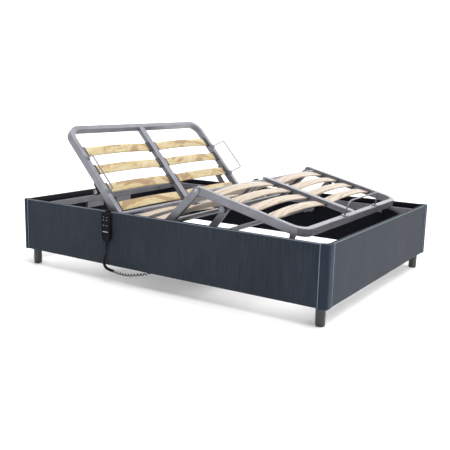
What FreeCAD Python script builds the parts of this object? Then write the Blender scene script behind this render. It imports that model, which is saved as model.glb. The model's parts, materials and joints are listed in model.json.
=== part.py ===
import FreeCAD, Part
import math
import os

# Adjustable bed base: an upholstered box on four legs, with a four-section slatted frame inside it.
# Millimetres. X runs along the bed (head -X, foot +X), Y across it, Z up; Z = 0 is the floor.
# The frame is drawn with the back raised and the knees lifted. The handset hangs on the -Y side.

V = FreeCAD.Vector

# ---- upholstered box ----
BASE_LENGTH = 1880.0
BASE_WIDTH = 1380.0
LEG_HEIGHT = 90.0
BOX_HEIGHT = 285.0
PAD_PROUD = 3.0            # corner pads stand this far outside the covers
COVER_SKIN = 3.0           # fabric and foam on the outer face
COVER_EDGE = 2.0           # the same, folded over the top and bottom edges
COVER_LIP = 1.5            # hem stapled inside the rim
BOARD = 18.0
FOOT_PAD_WIDTH = 45.0
HEAD_PAD_WIDTH = 30.0
PAD_CORNER_R = 12.0
PAD_LIFT = 1.0             # pads reach this far past the covers at the top and bottom

# ---- legs and corners ----
LEG_R = 23.5
LEG_FOOT_R = 22.5
LEG_INSET = 50.0
LEG_STUD_R = 5.0
LEG_STUD_LENGTH = 30.0
STUD_CLEARANCE = 0.5
PLATE_SIZE = 80.0
PLATE_T = 3.0
BLOCK_SIZE = 68.0
BLOCK_HEIGHT = 200.0

# ---- steel bars ----
BAR_WIDE = 30.0            # rail width across the bed
BAR_DEEP = 40.0            # rail depth under the mattress
BAR_WALL = 2.0
BAR_ROUND = 3.0
CENTRE_WIDE = 45.0
CENTRE_DEEP = 28.0
BEND_R = 85.0
SIDE_RAIL_WIDE = 30.0
SIDE_RAIL_GAP = 17.0       # between hinge plates and the side rails on the boards
CROSS_RAIL_T = 20.0
CROSS_RAIL_DEEP = 35.0
CROSS_RAIL_BELOW_RIM = 35.0
HEM_ABOVE_RAILS = 10.0     # cloth hem inside the rim stops this far above the side rails
SIDE_RAIL_BELOW_RIM = 30.0
FACE_BELOW_RIM = 25.0      # flat mattress face under the rim

# ---- sections of the slatted frame ----
BACK_PIVOT_X = -291.0
THIGH_PIVOT_X = 6.0
STEP_IN = 1.0              # each moving section is this much narrower on each side
HEAD_GAP = 8.0             # flat back section to the head rail
FOOT_GAP = 18.0            # flat leg section to the foot rail
THIGH_REACH = 276.0        # pivot to pivot
BACK_ANGLE = 48.5          # raised back, degrees above flat
THIGH_ANGLE = 45.0
LEG_SLOPE = 13.8           # lower-leg section, degrees below flat
BACK_TRAVEL = 60.0         # full travel of the back from flat
END_GAP = 3.0              # between the round end of a rail and its neighbour
PIN_R = 5.0
PIN_FIT = 0.05
HINGE_PLATE = 4.0
HINGE_PLATE_R = 19.0
HINGE_PLATE_LAP = 40.0
CROSS_TUBE_R = 13.0
CROSS_TUBE_WALL = 2.0
PIVOT_TUBE_AT = 20.0
THIGH_TUBE_FROM_KNEE = 50.0

# ---- slats ----
SLAT_WIDE = 55.0
SLAT_T = 8.0
SLAT_BOW = 18.0
BACK_SLAT_BOW = 12.0
SLAT_END_DROP = 15.0       # top of a slat's end under the mattress face
BACK_SLATS = (65.0, 169.0)     # first slat from the pivot, and the last from the section's end
LEG_SLATS = (64.0, 200.0)       # the first from the knee tube's near face
THIGH_SLATS = (78.0, 104.0)
SEAT_SLATS = (86.0, 101.0)
SLATS_PER_LONG_SECTION = 4
HOLDER_LONG = 63.0
HOLDER_DEEP = 24.0
HOLDER_WALL = 3.0
HOLDER_GAP = 2.0              # least room between two holders
HOLDER_PLAY = 0.3

# ---- lifting shafts, arms and rollers ----
SHAFT_R = 13.0
SHAFT_WALL = 3.0
SHAFT_FIT = 0.05
BACK_SHAFT_X = -335.0
LEG_SHAFT_X = 212.0
SHAFT_BELOW_PIVOT = 45.0
ARM_LENGTH = 210.0
ARM_T = 8.0
ARM_ROOT_R = 22.0
ARM_TIP_R = 16.0
ARM_INBOARD = 29.0         # from the rail's outer face to the roller's
ROLLER_R = 20.0
ROLLER_WIDE = 23.0
ROLLER_GAP = 0.4
LEG_ROLLER_GAP = 0.3
SHOE_REST_T = 7.6          # glide shoe's thickness where the back roller rests
BACK_ARM_RATIO = 1.072     # arm turn per degree of back
BEARING_T = 8.0
BEARING_HALF = 28.0

# ---- drive unit ----
LEVER_LENGTH = 55.0
LEVER_TIP_R = 8.0
LEVER_T = 8.0
LEVER_OFF_CENTRE = 16.0
BACK_LEVER_PAST_MID = 19.8
LEG_LEVER_PAST_MID = 25.0
NUT_LONG = 44.0
NUT_HALF_WIDE = 14.0
NUT_HALF_DEEP = 16.0
NUT_PIN_AT = 10.0
NUT_PIN_HALF = 28.0
NUT_GAP = 1.2
SPINDLE_R = 7.0
DRIVE_Y = -465.0           # the drive unit's middle, beside the near arms
DRIVE_HALF_WIDE = 85.0
DRIVE_WALL = 3.0
DRIVE_BELOW_SHAFT = 85.0
DRIVE_ABOVE_SHAFT = 24.0
DRIVE_END = 51.0
MOTOR_R = 25.0
MOTOR_LONG = 115.0
GEARBOX_LONG = 56.0
GEARBOX_HALF = 35.0
GEARBOX_ABOVE = 30.0       # over the spindle's middle
BACK_GEAR_FROM_SHAFT = 86.0
LEG_GEAR_FROM_SHAFT = 78.0

# ---- foot rollers on their ramps ----
FOOT_ROLLER_FROM_END = 51.0
FOOT_ROLLER_DROP = 50.0
FOOT_ROLLER_R = 16.0
FOOT_ROLLER_WIDE = 12.0
FOOT_ROLLER_GAP = 0.5
RAMP_T = 16.0
RAMP_FOOT = 75.0           # ramp's flat base under the pivots
RAMP_STOP = 14.0           # level run past the rollers' flat place

# ---- mattress retainers ----
WIRE_R = 4.0
SIDE_HOOP_FROM = 160.0
SIDE_HOOP_TO = 380.0
NEAR_HOOP = (22.0, -22.0)  # height above the rail, and lean away from the bed's middle
FAR_HOOP = (50.0, 78.0)
FOOT_HOOP_ENDS = (-150.0, 262.0)
FOOT_HOOP_HIGH = 78.0
SIDE_HOOP_CORNER_R = 10.0
HOOP_CORNER_R = 40.0
CLAMP_T = 4.0

# ---- handset ----
HANDSET_X = -301.0
HANDSET_WIDE = 56.0
HANDSET_LONG = 154.0
HANDSET_T = 22.0
HANDSET_TAPER = 26.0
HANDSET_NECK = 30.0
HANDSET_BELOW_RIM = 4.0
HANDSET_OFF = 2.0
SHELL_T = 2.0
BUTTON_WIDE = 15.0
BUTTON_HIGH = 11.0
BUTTON_FIT = 0.3
BUTTON_ROWS_DOWN = (38.0, 66.0)
BUTTON_PROUD = 1.5
BUTTON_DEEP = 7.0
CIRCUIT_HALF = 22.0
CIRCUIT_T = 1.6
BUTTON_OFF = 11.0
CLIP_T = 1.6
CLIP_WIDE = 34.0
CLIP_DOWN_OUTSIDE = 60.0
CLIP_DOWN_INSIDE = 16.0
RELIEF_LONG = 46.0
RELIEF_TOP_R = 5.5
RELIEF_END_R = 4.0
CORD_R = 6.5
CORD_GAP = 0.5
CONTROL_LONG = 150.0
CONTROL_DEEP = 42.0
CONTROL_HIGH = 82.0
CONTROL_X = -35.0
CONTROL_ABOVE_BOTTOM = 60.0
CORD_ENTRY = 16.0          # from the control box's end

# ---- brackets and bolts ----
BOLT_R = 4.0
BOLT_PLAY = 0.1
BOLT_HEAD_R = 8.0
BOLT_HEAD_T = 5.0
BOLT_BITE = 12.0
BOLTS_AT = (-0.87, -0.502, 0.391, 0.67)             # shares of the side rails' half length
SEAT_BOLT_FROM_BRACKET = 35.0                       # from the middle of the nearer seat bracket
END_BOLTS_AT = (-0.72, 0.0, 0.72)                   # shares of the cross rails' half length
SEAT_BRACKETS_AT = (-205.0, -95.0)
SEAT_BRACKET_LONG = 40.0
CROSS_BRACKET_LONG = 140.0
CROSS_BRACKETS_AT = (-155.0, 105.0)
CROSS_BRACKET_DEEP = 38.0

# ---- worked out from the sizes above ----
HALF_LENGTH = BASE_LENGTH / 2
HALF_WIDTH = BASE_WIDTH / 2
BOX_BOTTOM = LEG_HEIGHT
RIM = LEG_HEIGHT + BOX_HEIGHT
COVER_X = HALF_LENGTH - PAD_PROUD
COVER_Y = HALF_WIDTH - PAD_PROUD
BOARD_X = COVER_X - COVER_SKIN
BOARD_Y = COVER_Y - COVER_SKIN
INNER_X = BOARD_X - BOARD
INNER_Y = BOARD_Y - BOARD
BOARD_BOTTOM = BOX_BOTTOM + COVER_EDGE
BOARD_TOP = RIM - COVER_EDGE
BOLT_TIP_Y = INNER_Y + BOLT_BITE
BOLT_TIP_X = INNER_X + BOLT_BITE
HALF_BAR = BAR_DEEP / 2
FACE_Z = RIM - FACE_BELOW_RIM
PIVOT_Z = FACE_Z - HALF_BAR
SHAFT_Z = PIVOT_Z - SHAFT_BELOW_PIVOT
SIDE_RAIL_IN = INNER_Y - SIDE_RAIL_WIDE
FRAME_HALF = SIDE_RAIL_IN - SIDE_RAIL_GAP - HINGE_PLATE
RAIL_IN = FRAME_HALF - BAR_WIDE
BACK_HALF = FRAME_HALF - STEP_IN
LEG_HALF = FRAME_HALF - 2 * STEP_IN
SIDE_RAIL_TOP = RIM - SIDE_RAIL_BELOW_RIM
SIDE_RAIL_LOW = SIDE_RAIL_TOP - BAR_DEEP
CROSS_RAIL_TOP = RIM - CROSS_RAIL_BELOW_RIM
CROSS_RAIL_LOW = CROSS_RAIL_TOP - CROSS_RAIL_DEEP
CROSS_RAIL_X = INNER_X - CROSS_RAIL_T
HEM_LOW = SIDE_RAIL_TOP + HEM_ABOVE_RAILS
BACK_REACH = CROSS_RAIL_X + BACK_PIVOT_X - HEAD_GAP
LEG_REACH = CROSS_RAIL_X - THIGH_PIVOT_X - THIGH_REACH - FOOT_GAP
SEAT_REACH = THIGH_PIVOT_X - BACK_PIVOT_X
FOOT_ROLLER_AT = LEG_REACH - FOOT_ROLLER_FROM_END
HANDSET_TOP = RIM - HANDSET_BELOW_RIM
BUTTON_ROWS = [HANDSET_TOP - down for down in BUTTON_ROWS_DOWN]
CONTROL_Z = BOX_BOTTOM + CONTROL_ABOVE_BOTTOM
ARM_OUT = RAIL_IN + BAR_WIDE - ARM_INBOARD - ROLLER_WIDE
ARM_IN = ARM_OUT - ARM_T
ROLLER_IN = RAIL_IN + (BAR_WIDE - 2 * STEP_IN - ROLLER_WIDE) / 2
ROLLER_OUT = ROLLER_IN + ROLLER_WIDE

BACK_PIVOT = V(BACK_PIVOT_X, 0, PIVOT_Z)
THIGH_PIVOT = V(THIGH_PIVOT_X, 0, PIVOT_Z)
LEG_RATIO = LEG_SLOPE / THIGH_ANGLE


def knee_at(thigh_angle):
    """Knee pivot with the thigh section raised by an angle in degrees."""
    turn = math.radians(thigh_angle)
    return THIGH_PIVOT + V(THIGH_REACH * math.cos(turn), 0, THIGH_REACH * math.sin(turn))


KNEE = knee_at(THIGH_ANGLE)


def spread(ends, reach, count):
    """Evenly spread places of slats along a section, from its ends but never closer than their holders."""
    middle = (ends[0] + reach - ends[1]) / 2
    pitch = max((reach - ends[1] - ends[0]) / (count - 1), HOLDER_LONG + HOLDER_GAP)
    return [middle + pitch * (index - (count - 1) / 2) for index in range(count)]

os.makedirs("parts", exist_ok=True)


def save(name, *shapes):
    """Write one node; several shapes are a group of separate solids."""
    shape = shapes[0] if len(shapes) == 1 else Part.makeCompound(list(shapes))
    shape.exportStep("parts/" + name + ".step")


def box(x0, x1, y0, y1, z0, z1):
    return Part.makeBox(x1 - x0, y1 - y0, z1 - z0, V(x0, y0, z0))


def rod_y(x, z, radius, y0, y1):
    return Part.makeCylinder(radius, y1 - y0, V(x, y0, z), V(0, 1, 0))


def rod_x(y, z, radius, x0, x1):
    return Part.makeCylinder(radius, x1 - x0, V(x0, y, z), V(1, 0, 0))


def rod_z(x, y, radius, z0, z1):
    return Part.makeCylinder(radius, z1 - z0, V(x, y, z0), V(0, 0, 1))


def tube_y(x, z, radius, wall, y0, y1):
    return rod_y(x, z, radius, y0, y1).cut(rod_y(x, z, radius - wall, y0, y1))


def far(shape):
    """The same piece on the other side of the bed."""
    return shape.mirror(V(0, 0, 0), V(0, 1, 0))


def head(shape):
    """The same piece at the other end of the bed."""
    return shape.mirror(V(0, 0, 0), V(1, 0, 0))


def posed(shape, pivot, pitch):
    """Turn a piece drawn flat about the cross axis, then carry it to its pivot."""
    moved = shape.copy()
    moved.rotate(V(0, 0, 0), V(0, 1, 0), pitch)
    moved.translate(pivot)
    return moved


def on_back(shape):
    return posed(shape, BACK_PIVOT, BACK_ANGLE)


def on_thigh(shape):
    return posed(shape, THIGH_PIVOT, -THIGH_ANGLE)


def on_leg(shape):
    return posed(shape, KNEE, LEG_SLOPE)


def round_edges(shape, radius, chosen):
    return shape.makeFillet(radius, [edge for edge in shape.Edges if chosen(edge)])


def runs_along(axis):
    """True for straight edges along one axis."""
    def test(edge):
        if not isinstance(edge.Curve, Part.Line):
            return False
        return abs(abs(edge.Curve.Direction.dot(axis)) - 1) < 1e-6
    return test


def box_tube(x0, x1, y0, y1, z0, z1, axis):
    """Hollow rectangular bar with rounded corners along axis."""
    outer = round_edges(box(x0, x1, y0, y1, z0, z1), BAR_ROUND, runs_along(axis))
    wx, wy, wz = [0 if component else BAR_WALL for component in (axis.x, axis.y, axis.z)]
    return outer.cut(box(x0 + wx, x1 - wx, y0 + wy, y1 - wy, z0 + wz, z1 - wz))


def link_plate(start, end, start_r, end_r, y0, y1):
    """Flat plate with two round ends joined by tangents, in a vertical plane."""
    along = end - start
    length = along.Length
    bearing = math.atan2(along.z, along.x)
    spread = math.acos((start_r - end_r) / length)

    def rim_point(centre, radius, angle):
        return V(centre.x + radius * math.cos(angle), y0, centre.z + radius * math.sin(angle))

    a = rim_point(start, start_r, bearing + spread)
    a_mid = rim_point(start, start_r, bearing + math.pi)
    b = rim_point(start, start_r, bearing - spread)
    c = rim_point(end, end_r, bearing - spread)
    c_mid = rim_point(end, end_r, bearing)
    d = rim_point(end, end_r, bearing + spread)
    edges = [Part.Arc(a, a_mid, b).toShape(), Part.LineSegment(b, c).toShape(),
             Part.Arc(c, c_mid, d).toShape(), Part.LineSegment(d, a).toShape()]
    return Part.Face(Part.Wire(edges)).extrude(V(0, y1 - y0, 0))


# ---- the upholstered box ----

def long_cover():
    """Near-side cover: outer skin, both edges, and the hem inside the rim."""
    x0 = HEAD_PAD_WIDTH - HALF_LENGTH
    x1 = HALF_LENGTH - FOOT_PAD_WIDTH
    skin = box(x0, x1, -COVER_Y, -BOARD_Y, BOX_BOTTOM, RIM)
    top = box(x0, x1, -COVER_Y, COVER_LIP - INNER_Y, BOARD_TOP, RIM)
    bottom = box(x0, x1, -COVER_Y, -INNER_Y, BOX_BOTTOM, BOARD_BOTTOM)
    hem = box(x0, x1, -INNER_Y, COVER_LIP - INNER_Y, HEM_LOW, RIM)
    return skin.fuse([top, bottom, hem]).removeSplitter()


def end_cover(pad_width):
    """Foot-end cover; the head end is its mirror with a narrower pad."""
    y1 = HALF_WIDTH - pad_width
    skin = box(BOARD_X, COVER_X, -y1, y1, BOX_BOTTOM, RIM)
    top = box(INNER_X - COVER_LIP, COVER_X, -y1, y1, BOARD_TOP, RIM)
    bottom = box(INNER_X, COVER_X, -y1, y1, BOX_BOTTOM, BOARD_BOTTOM)
    hem = box(INNER_X - COVER_LIP, INNER_X, -y1, y1, HEM_LOW, RIM)
    return skin.fuse([top, bottom, hem]).removeSplitter()


def corner_pad(width):
    """Padded corner at the near foot: wraps both boards and caps their edges."""
    low = BOX_BOTTOM - PAD_LIFT
    high = RIM + PAD_LIFT
    pad = box(HALF_LENGTH - width, HALF_LENGTH, -HALF_WIDTH, width - HALF_WIDTH, low, high)

    def outer_corner(edge):
        point = edge.CenterOfMass
        return abs(point.x - HALF_LENGTH) < 1e-6 and abs(point.y + HALF_WIDTH) < 1e-6

    pad = round_edges(pad, PAD_CORNER_R, outer_corner)
    boards = box(0, BOARD_X, -BOARD_Y, 0, BOARD_BOTTOM, BOARD_TOP)
    hollow = box(0, INNER_X, -INNER_Y, 0, low, high)
    return pad.cut(boards).cut(hollow)


def build_box():
    near = box(-BOARD_X, BOARD_X, -BOARD_Y, -INNER_Y, BOARD_BOTTOM, BOARD_TOP)
    end = box(INNER_X, BOARD_X, -INNER_Y, INNER_Y, BOARD_BOTTOM, BOARD_TOP)
    side_holes = [rod_y(x, bolt_z(), BOLT_R + BOLT_PLAY, -BOLT_TIP_Y, -INNER_Y) for x in side_bolts()]
    end_holes = [rod_x(y, bolt_z(), BOLT_R + BOLT_PLAY, INNER_X, BOLT_TIP_X) for y in end_bolts()]
    near = near.cut(side_holes)
    end = end.cut(end_holes)
    save("side_boards", near, far(near))
    save("end_boards", end, head(end))
    save("near_side_cover", long_cover())
    save("far_side_cover", far(long_cover()))
    save("foot_end_cover", end_cover(FOOT_PAD_WIDTH))
    save("head_end_cover", head(end_cover(HEAD_PAD_WIDTH)))
    foot_pad = corner_pad(FOOT_PAD_WIDTH)
    head_pad = head(corner_pad(HEAD_PAD_WIDTH))
    save("corner_pads", foot_pad, far(foot_pad), head_pad, far(head_pad))


def four(shape):
    """A corner piece drawn at the far foot, copied to all four corners."""
    return [shape, far(shape), head(shape), far(head(shape))]


def build_legs():
    x = HALF_LENGTH - LEG_INSET
    y = HALF_WIDTH - LEG_INSET
    plate_top = BOARD_BOTTOM + PLATE_T
    body = Part.makeCone(LEG_FOOT_R, LEG_R, BOARD_BOTTOM, V(x, y, 0))
    leg = body.fuse(rod_z(x, y, LEG_STUD_R, BOARD_BOTTOM, BOARD_BOTTOM + LEG_STUD_LENGTH))
    hole_top = BOARD_BOTTOM + LEG_STUD_LENGTH + STUD_CLEARANCE
    hole = rod_z(x, y, LEG_STUD_R + STUD_CLEARANCE, BOARD_BOTTOM, hole_top)
    plate = box(INNER_X - PLATE_SIZE, INNER_X, INNER_Y - PLATE_SIZE, INNER_Y, BOARD_BOTTOM, plate_top)
    block = box(INNER_X - BLOCK_SIZE, INNER_X, INNER_Y - BLOCK_SIZE, INNER_Y,
                plate_top, plate_top + BLOCK_HEIGHT)
    save("legs", *four(leg))
    save("leg_plates", *four(plate.cut(hole)))
    save("corner_blocks", *four(block.cut(hole)))


# ---- fixed steel frame ----

def bolt_z():
    return (SIDE_RAIL_LOW + CROSS_RAIL_TOP) / 2


def side_bolts():
    seat_bolt = SEAT_BRACKETS_AT[1] + SEAT_BOLT_FROM_BRACKET
    return [share * CROSS_RAIL_X for share in BOLTS_AT] + [seat_bolt]


def end_bolts():
    return [share * INNER_Y for share in END_BOLTS_AT]


def build_fixed_frame():
    reach = CROSS_RAIL_X
    along = V(1, 0, 0)
    across = V(0, 1, 0)
    near = box_tube(-reach, reach, -INNER_Y, -SIDE_RAIL_IN, SIDE_RAIL_LOW, SIDE_RAIL_TOP, along)
    near = near.cut([rod_y(x, bolt_z(), BOLT_R + BOLT_PLAY, -INNER_Y, -SIDE_RAIL_IN) for x in side_bolts()])
    save("side_rails", near, far(near))
    cross = box_tube(CROSS_RAIL_X, INNER_X, -INNER_Y, INNER_Y, CROSS_RAIL_LOW, CROSS_RAIL_TOP, across)
    cross = cross.cut([rod_x(y, bolt_z(), BOLT_R + BOLT_PLAY, CROSS_RAIL_X, INNER_X) for y in end_bolts()])
    save("cross_rails", cross, head(cross))
    brackets = []
    for y in CROSS_BRACKETS_AT:
        half = CROSS_BRACKET_LONG / 2
        hanger = box(CROSS_RAIL_X, INNER_X, y - half, y + half,
                     CROSS_RAIL_LOW - CROSS_BRACKET_DEEP, CROSS_RAIL_LOW)
        brackets += [hanger, head(hanger)]
    half = SEAT_BRACKET_LONG / 2
    for x in SEAT_BRACKETS_AT:
        spacer = box(x - half, x + half, FRAME_HALF, SIDE_RAIL_IN, SIDE_RAIL_TOP - BAR_WIDE, SIDE_RAIL_TOP)
        brackets += [spacer, far(spacer)]
    save("frame_brackets", *brackets)
    bolts = []
    for x in side_bolts():
        shank = rod_y(x, bolt_z(), BOLT_R, -BOLT_TIP_Y, -SIDE_RAIL_IN)
        bolt = shank.fuse(rod_y(x, bolt_z(), BOLT_HEAD_R, -SIDE_RAIL_IN, BOLT_HEAD_T - SIDE_RAIL_IN))
        bolts += [bolt, far(bolt)]
    for y in end_bolts():
        shank = rod_x(y, bolt_z(), BOLT_R, CROSS_RAIL_X, BOLT_TIP_X)
        bolt = shank.fuse(rod_x(y, bolt_z(), BOLT_HEAD_R, CROSS_RAIL_X - BOLT_HEAD_T, CROSS_RAIL_X))
        bolts += [bolt, head(bolt)]
    save("frame_bolts", *bolts)


def centre_bar(x0, x1, half_wide):
    """Middle bar of one section, flush with the mattress face, drawn about the pivot line."""
    return box_tube(x0, x1, -half_wide, half_wide, HALF_BAR - CENTRE_DEEP, HALF_BAR, V(1, 0, 0))


def build_seat():
    seat_x0 = BACK_PIVOT_X + HALF_BAR + END_GAP
    seat_x1 = THIGH_PIVOT_X - HALF_BAR - END_GAP
    low = FACE_Z - BAR_DEEP
    rail = box_tube(seat_x0, seat_x1, RAIL_IN, FRAME_HALF, low, FACE_Z, V(1, 0, 0))
    bar = centre_bar(seat_x0, seat_x1, CENTRE_WIDE / 2)
    bar.translate(V(0, 0, PIVOT_Z))
    ties = []
    for x in (seat_x0 + CROSS_TUBE_R, seat_x1 - CROSS_TUBE_R):
        for side in (1, -1):
            y0, y1 = sorted((side * CENTRE_WIDE / 2, side * RAIL_IN))
            ties.append(tube_y(x, PIVOT_Z, CROSS_TUBE_R, CROSS_TUBE_WALL, y0, y1))
    save("seat_frame", rail, far(rail), bar, *ties)
    slats, holders = slat_set([BACK_PIVOT_X + x for x in spread(SEAT_SLATS, SEAT_REACH, 2)], CENTRE_WIDE / 2)
    up = V(0, 0, PIVOT_Z)
    save("seat_slats", *[moved(shape, up) for shape in slats])
    save("seat_slat_holders", *[moved(shape, up) for shape in holders])


def moved(shape, by):
    shifted = shape.copy()
    shifted.translate(by)
    return shifted


# ---- slats and their holders, drawn about the pivot line ----

def slat(x, y0, y1, bow, play):
    """Bowed slat between y0 and y1; play makes the same shape larger all round."""
    end_top = HALF_BAR - SLAT_END_DROP + play
    end_low = end_top - SLAT_T - 2 * play
    left = y0 - play
    right = y1 + play
    middle = (left + right) / 2
    x0 = x - SLAT_WIDE / 2 - play
    top = Part.Arc(V(x0, left, end_top), V(x0, middle, end_top + bow), V(x0, right, end_top))
    low = Part.Arc(V(x0, right, end_low), V(x0, middle, end_low + bow), V(x0, left, end_low))
    edges = [top.toShape(), Part.LineSegment(V(x0, right, end_top), V(x0, right, end_low)).toShape(),
             low.toShape(), Part.LineSegment(V(x0, left, end_low), V(x0, left, end_top)).toShape()]
    return Part.Face(Part.Wire(edges)).extrude(V(SLAT_WIDE + 2 * play, 0, 0))


def slat_set(places, centre_half, bow=SLAT_BOW):
    """Slats on both halves at each place along a section, with a holder at every end."""
    y0 = centre_half + HOLDER_WALL
    y1 = RAIL_IN - HOLDER_WALL
    high = HALF_BAR - SLAT_END_DROP + HOLDER_WALL + 4
    low = HALF_BAR - SLAT_END_DROP - SLAT_T - HOLDER_WALL
    slats = []
    holders = []
    for x in places:
        one = slat(x, y0, y1, bow, 0)
        slats += [one, far(one)]
        room = slat(x, y0, y1, bow, HOLDER_PLAY)
        half = HOLDER_LONG / 2
        for start, end in ((centre_half, centre_half + HOLDER_DEEP), (RAIL_IN - HOLDER_DEEP, RAIL_IN)):
            holder = box(x - half, x + half, start, end, low, high).cut(room)
            holders += [holder, far(holder)]
    return slats, holders


# ---- hinges ----

def hinge_plates(lap, half_wide):
    """Plates on a section's outer faces that carry the pivot at the origin."""
    plate = link_plate(V(lap, 0, 0), V(0, 0, 0), HINGE_PLATE_R, HINGE_PLATE_R - 0.01,
                       half_wide, half_wide + HINGE_PLATE)
    plate = plate.cut(rod_y(0, 0, PIN_R, half_wide, half_wide + HINGE_PLATE))
    return [plate, far(plate)]


def hinge_pins(half_wide):
    pin = rod_y(0, 0, PIN_R, RAIL_IN - 3, half_wide + HINGE_PLATE)
    return [pin, far(pin)]


# ---- moving sections, drawn flat with the pivot at the origin and the far end towards +X ----

def bow_outline(reach, half_wide, inset, start):
    """Closed plan outline of a bar bent into a bow, pulled in by inset on every side."""
    out_y = half_wide - inset
    in_y = RAIL_IN + inset
    width = out_y - in_y
    out_x = reach - inset
    in_x = out_x - width
    out_r = BEND_R - inset
    in_r = out_r - width
    q = math.sqrt(0.5)

    def bend(x, y, radius, side):
        centre = V(x - radius, side * (y - radius), 0)
        first = centre + V(0, side * radius, 0)
        middle = centre + V(radius * q, side * radius * q, 0)
        last = centre + V(radius, 0, 0)
        return first, middle, last

    edges = []
    a0, a1, a2 = bend(out_x, out_y, out_r, 1)
    b0, b1, b2 = bend(out_x, out_y, out_r, -1)
    c0, c1, c2 = bend(in_x, in_y, in_r, 1)
    d0, d1, d2 = bend(in_x, in_y, in_r, -1)
    points = [V(start, out_y, 0), a0, None, a2, b2, None, b0, V(start, -out_y, 0),
              V(start, -in_y, 0), d0, None, d2, c2, None, c0, V(start, in_y, 0)]
    arcs = {2: (a0, a1, a2), 5: (b2, b1, b0), 10: (d0, d1, d2), 13: (c2, c1, c0)}
    for index in range(len(points)):
        following = points[(index + 1) % len(points)]
        if index in arcs:
            edges.append(Part.Arc(*arcs[index]).toShape())
        elif following is not None:
            edges.append(Part.LineSegment(points[index], following).toShape())
    return Part.Face(Part.Wire(edges))


def bow_frame(reach, half_wide):
    """Side rails and end bar bent from one tube, with round plugged ends at the pivot."""
    frame = bow_outline(reach, half_wide, 0, 0)
    frame.translate(V(0, 0, -HALF_BAR))
    frame = frame.extrude(V(0, 0, BAR_DEEP))

    def long_edge(edge):
        point = edge.CenterOfMass
        return abs(abs(point.z) - HALF_BAR) < 1e-6 and point.x > 1e-6

    frame = round_edges(frame, BAR_ROUND, long_edge)
    for side in (1, -1):
        y0, y1 = sorted((side * RAIL_IN, side * half_wide))
        frame = frame.fuse(rod_y(0, 0, HALF_BAR, y0, y1))
        frame = frame.cut(rod_y(0, 0, PIN_R + PIN_FIT, y0, y1))
    void = bow_outline(reach, half_wide, BAR_WALL, HALF_BAR)
    void.translate(V(0, 0, BAR_WALL - HALF_BAR))
    return frame.cut(void.extrude(V(0, 0, BAR_DEEP - 2 * BAR_WALL)))


def split_tube(x, z, radius, centre_half):
    """Cross tube of one section: from the centre bar out to each side rail."""
    y0 = centre_half
    piece = tube_y(x, z, radius, CROSS_TUBE_WALL, y0, RAIL_IN)
    return [piece, far(piece)]


def wire_along(points, radius):
    """Bent wire through corner points, with one bend radius at every inner corner."""
    edges = []
    start = points[0]
    bends = []
    for before, corner, after in zip(points, points[1:], points[2:]):
        back = (before - corner).normalize()
        ahead = (after - corner).normalize()
        half_turn = (math.pi - back.getAngle(ahead)) / 2
        trim = radius * math.tan(half_turn)
        first = corner + back * trim
        last = corner + ahead * trim
        middle = corner + (back + ahead).normalize() * (radius / math.cos(half_turn) - radius)
        bends.append((first, middle, last))
    for first, middle, last in bends:
        edges.append(Part.LineSegment(start, first).toShape())
        edges.append(Part.Arc(first, middle, last).toShape())
        start = last
    edges.append(Part.LineSegment(start, points[-1]).toShape())
    path = Part.Wire(edges)
    direction = points[1] - points[0]
    ring = Part.Wire(Part.makeCircle(WIRE_R, points[0], direction))
    return path.makePipeShell([ring], True, False)


def retainer_side(high, lean):
    """Wire hoop along one side rail of the back, with its two clamps, drawn at the near side."""
    y = -(RAIL_IN + BAR_WIDE / 2)
    face = HALF_BAR + CLAMP_T
    top = HALF_BAR + high
    out = y - lean
    points = [V(-SIDE_HOOP_FROM, y, face), V(-SIDE_HOOP_FROM, out, top),
              V(-SIDE_HOOP_TO, out, top), V(-SIDE_HOOP_TO, y, face)]
    feet = [clamp(x, y, 26, BAR_WIDE - 2) for x in (-SIDE_HOOP_FROM, -SIDE_HOOP_TO)]
    return wire_along(points, SIDE_HOOP_CORNER_R).fuse(feet).removeSplitter()


def clamp(x, y, long, wide):
    """Saddle plate that fixes a retainer's foot on a bar's face."""
    return box(x - long / 2, x + long / 2, y - wide / 2, y + wide / 2, HALF_BAR, HALF_BAR + CLAMP_T)


def roller_on_back(lift):
    """Roller's centre in the back's own flat frame, with the back lifted by an angle in degrees."""
    rest = back_roller_centre()
    rest_arm = math.atan2(rest.z - SHAFT_Z, BACK_SHAFT_X - rest.x)
    arm = rest_arm + math.radians(BACK_ARM_RATIO * (lift - BACK_ANGLE))
    centre = V(BACK_SHAFT_X - ARM_LENGTH * math.cos(arm), 0, SHAFT_Z + ARM_LENGTH * math.sin(arm))
    away = centre - BACK_PIVOT
    turn = math.radians(lift)
    along = away.x * math.cos(turn) - away.z * math.sin(turn)
    return V(along, 0, away.x * math.sin(turn) + away.z * math.cos(turn))


def glide_shoe():
    """Strip under a back rail, shaped so that the roller stays close to it all the way."""
    points = []
    steps = 14
    for step in range(-1, steps + 2):
        lift = BACK_TRAVEL * step / steps
        ahead = (roller_on_back(lift + 0.1) - roller_on_back(lift - 0.1)).normalize()
        up = V(-ahead.z, 0, ahead.x)
        if up.z < 0:
            up = up * -1
        points.append(roller_on_back(lift) + up * (ROLLER_R + ROLLER_GAP) + V(0, RAIL_IN + 2, 0))
    curve = Part.BSplineCurve()
    curve.interpolate(points)
    first = points[0]
    last = points[-1]
    corners = [V(last.x, last.y, -HALF_BAR), V(first.x, first.y, -HALF_BAR)]
    edges = [curve.toShape(), Part.LineSegment(last, corners[0]).toShape(),
             Part.LineSegment(corners[0], corners[1]).toShape(),
             Part.LineSegment(corners[1], first).toShape()]
    return Part.Face(Part.Wire(edges)).extrude(V(0, BAR_WIDE - STEP_IN - 4, 0))


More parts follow.
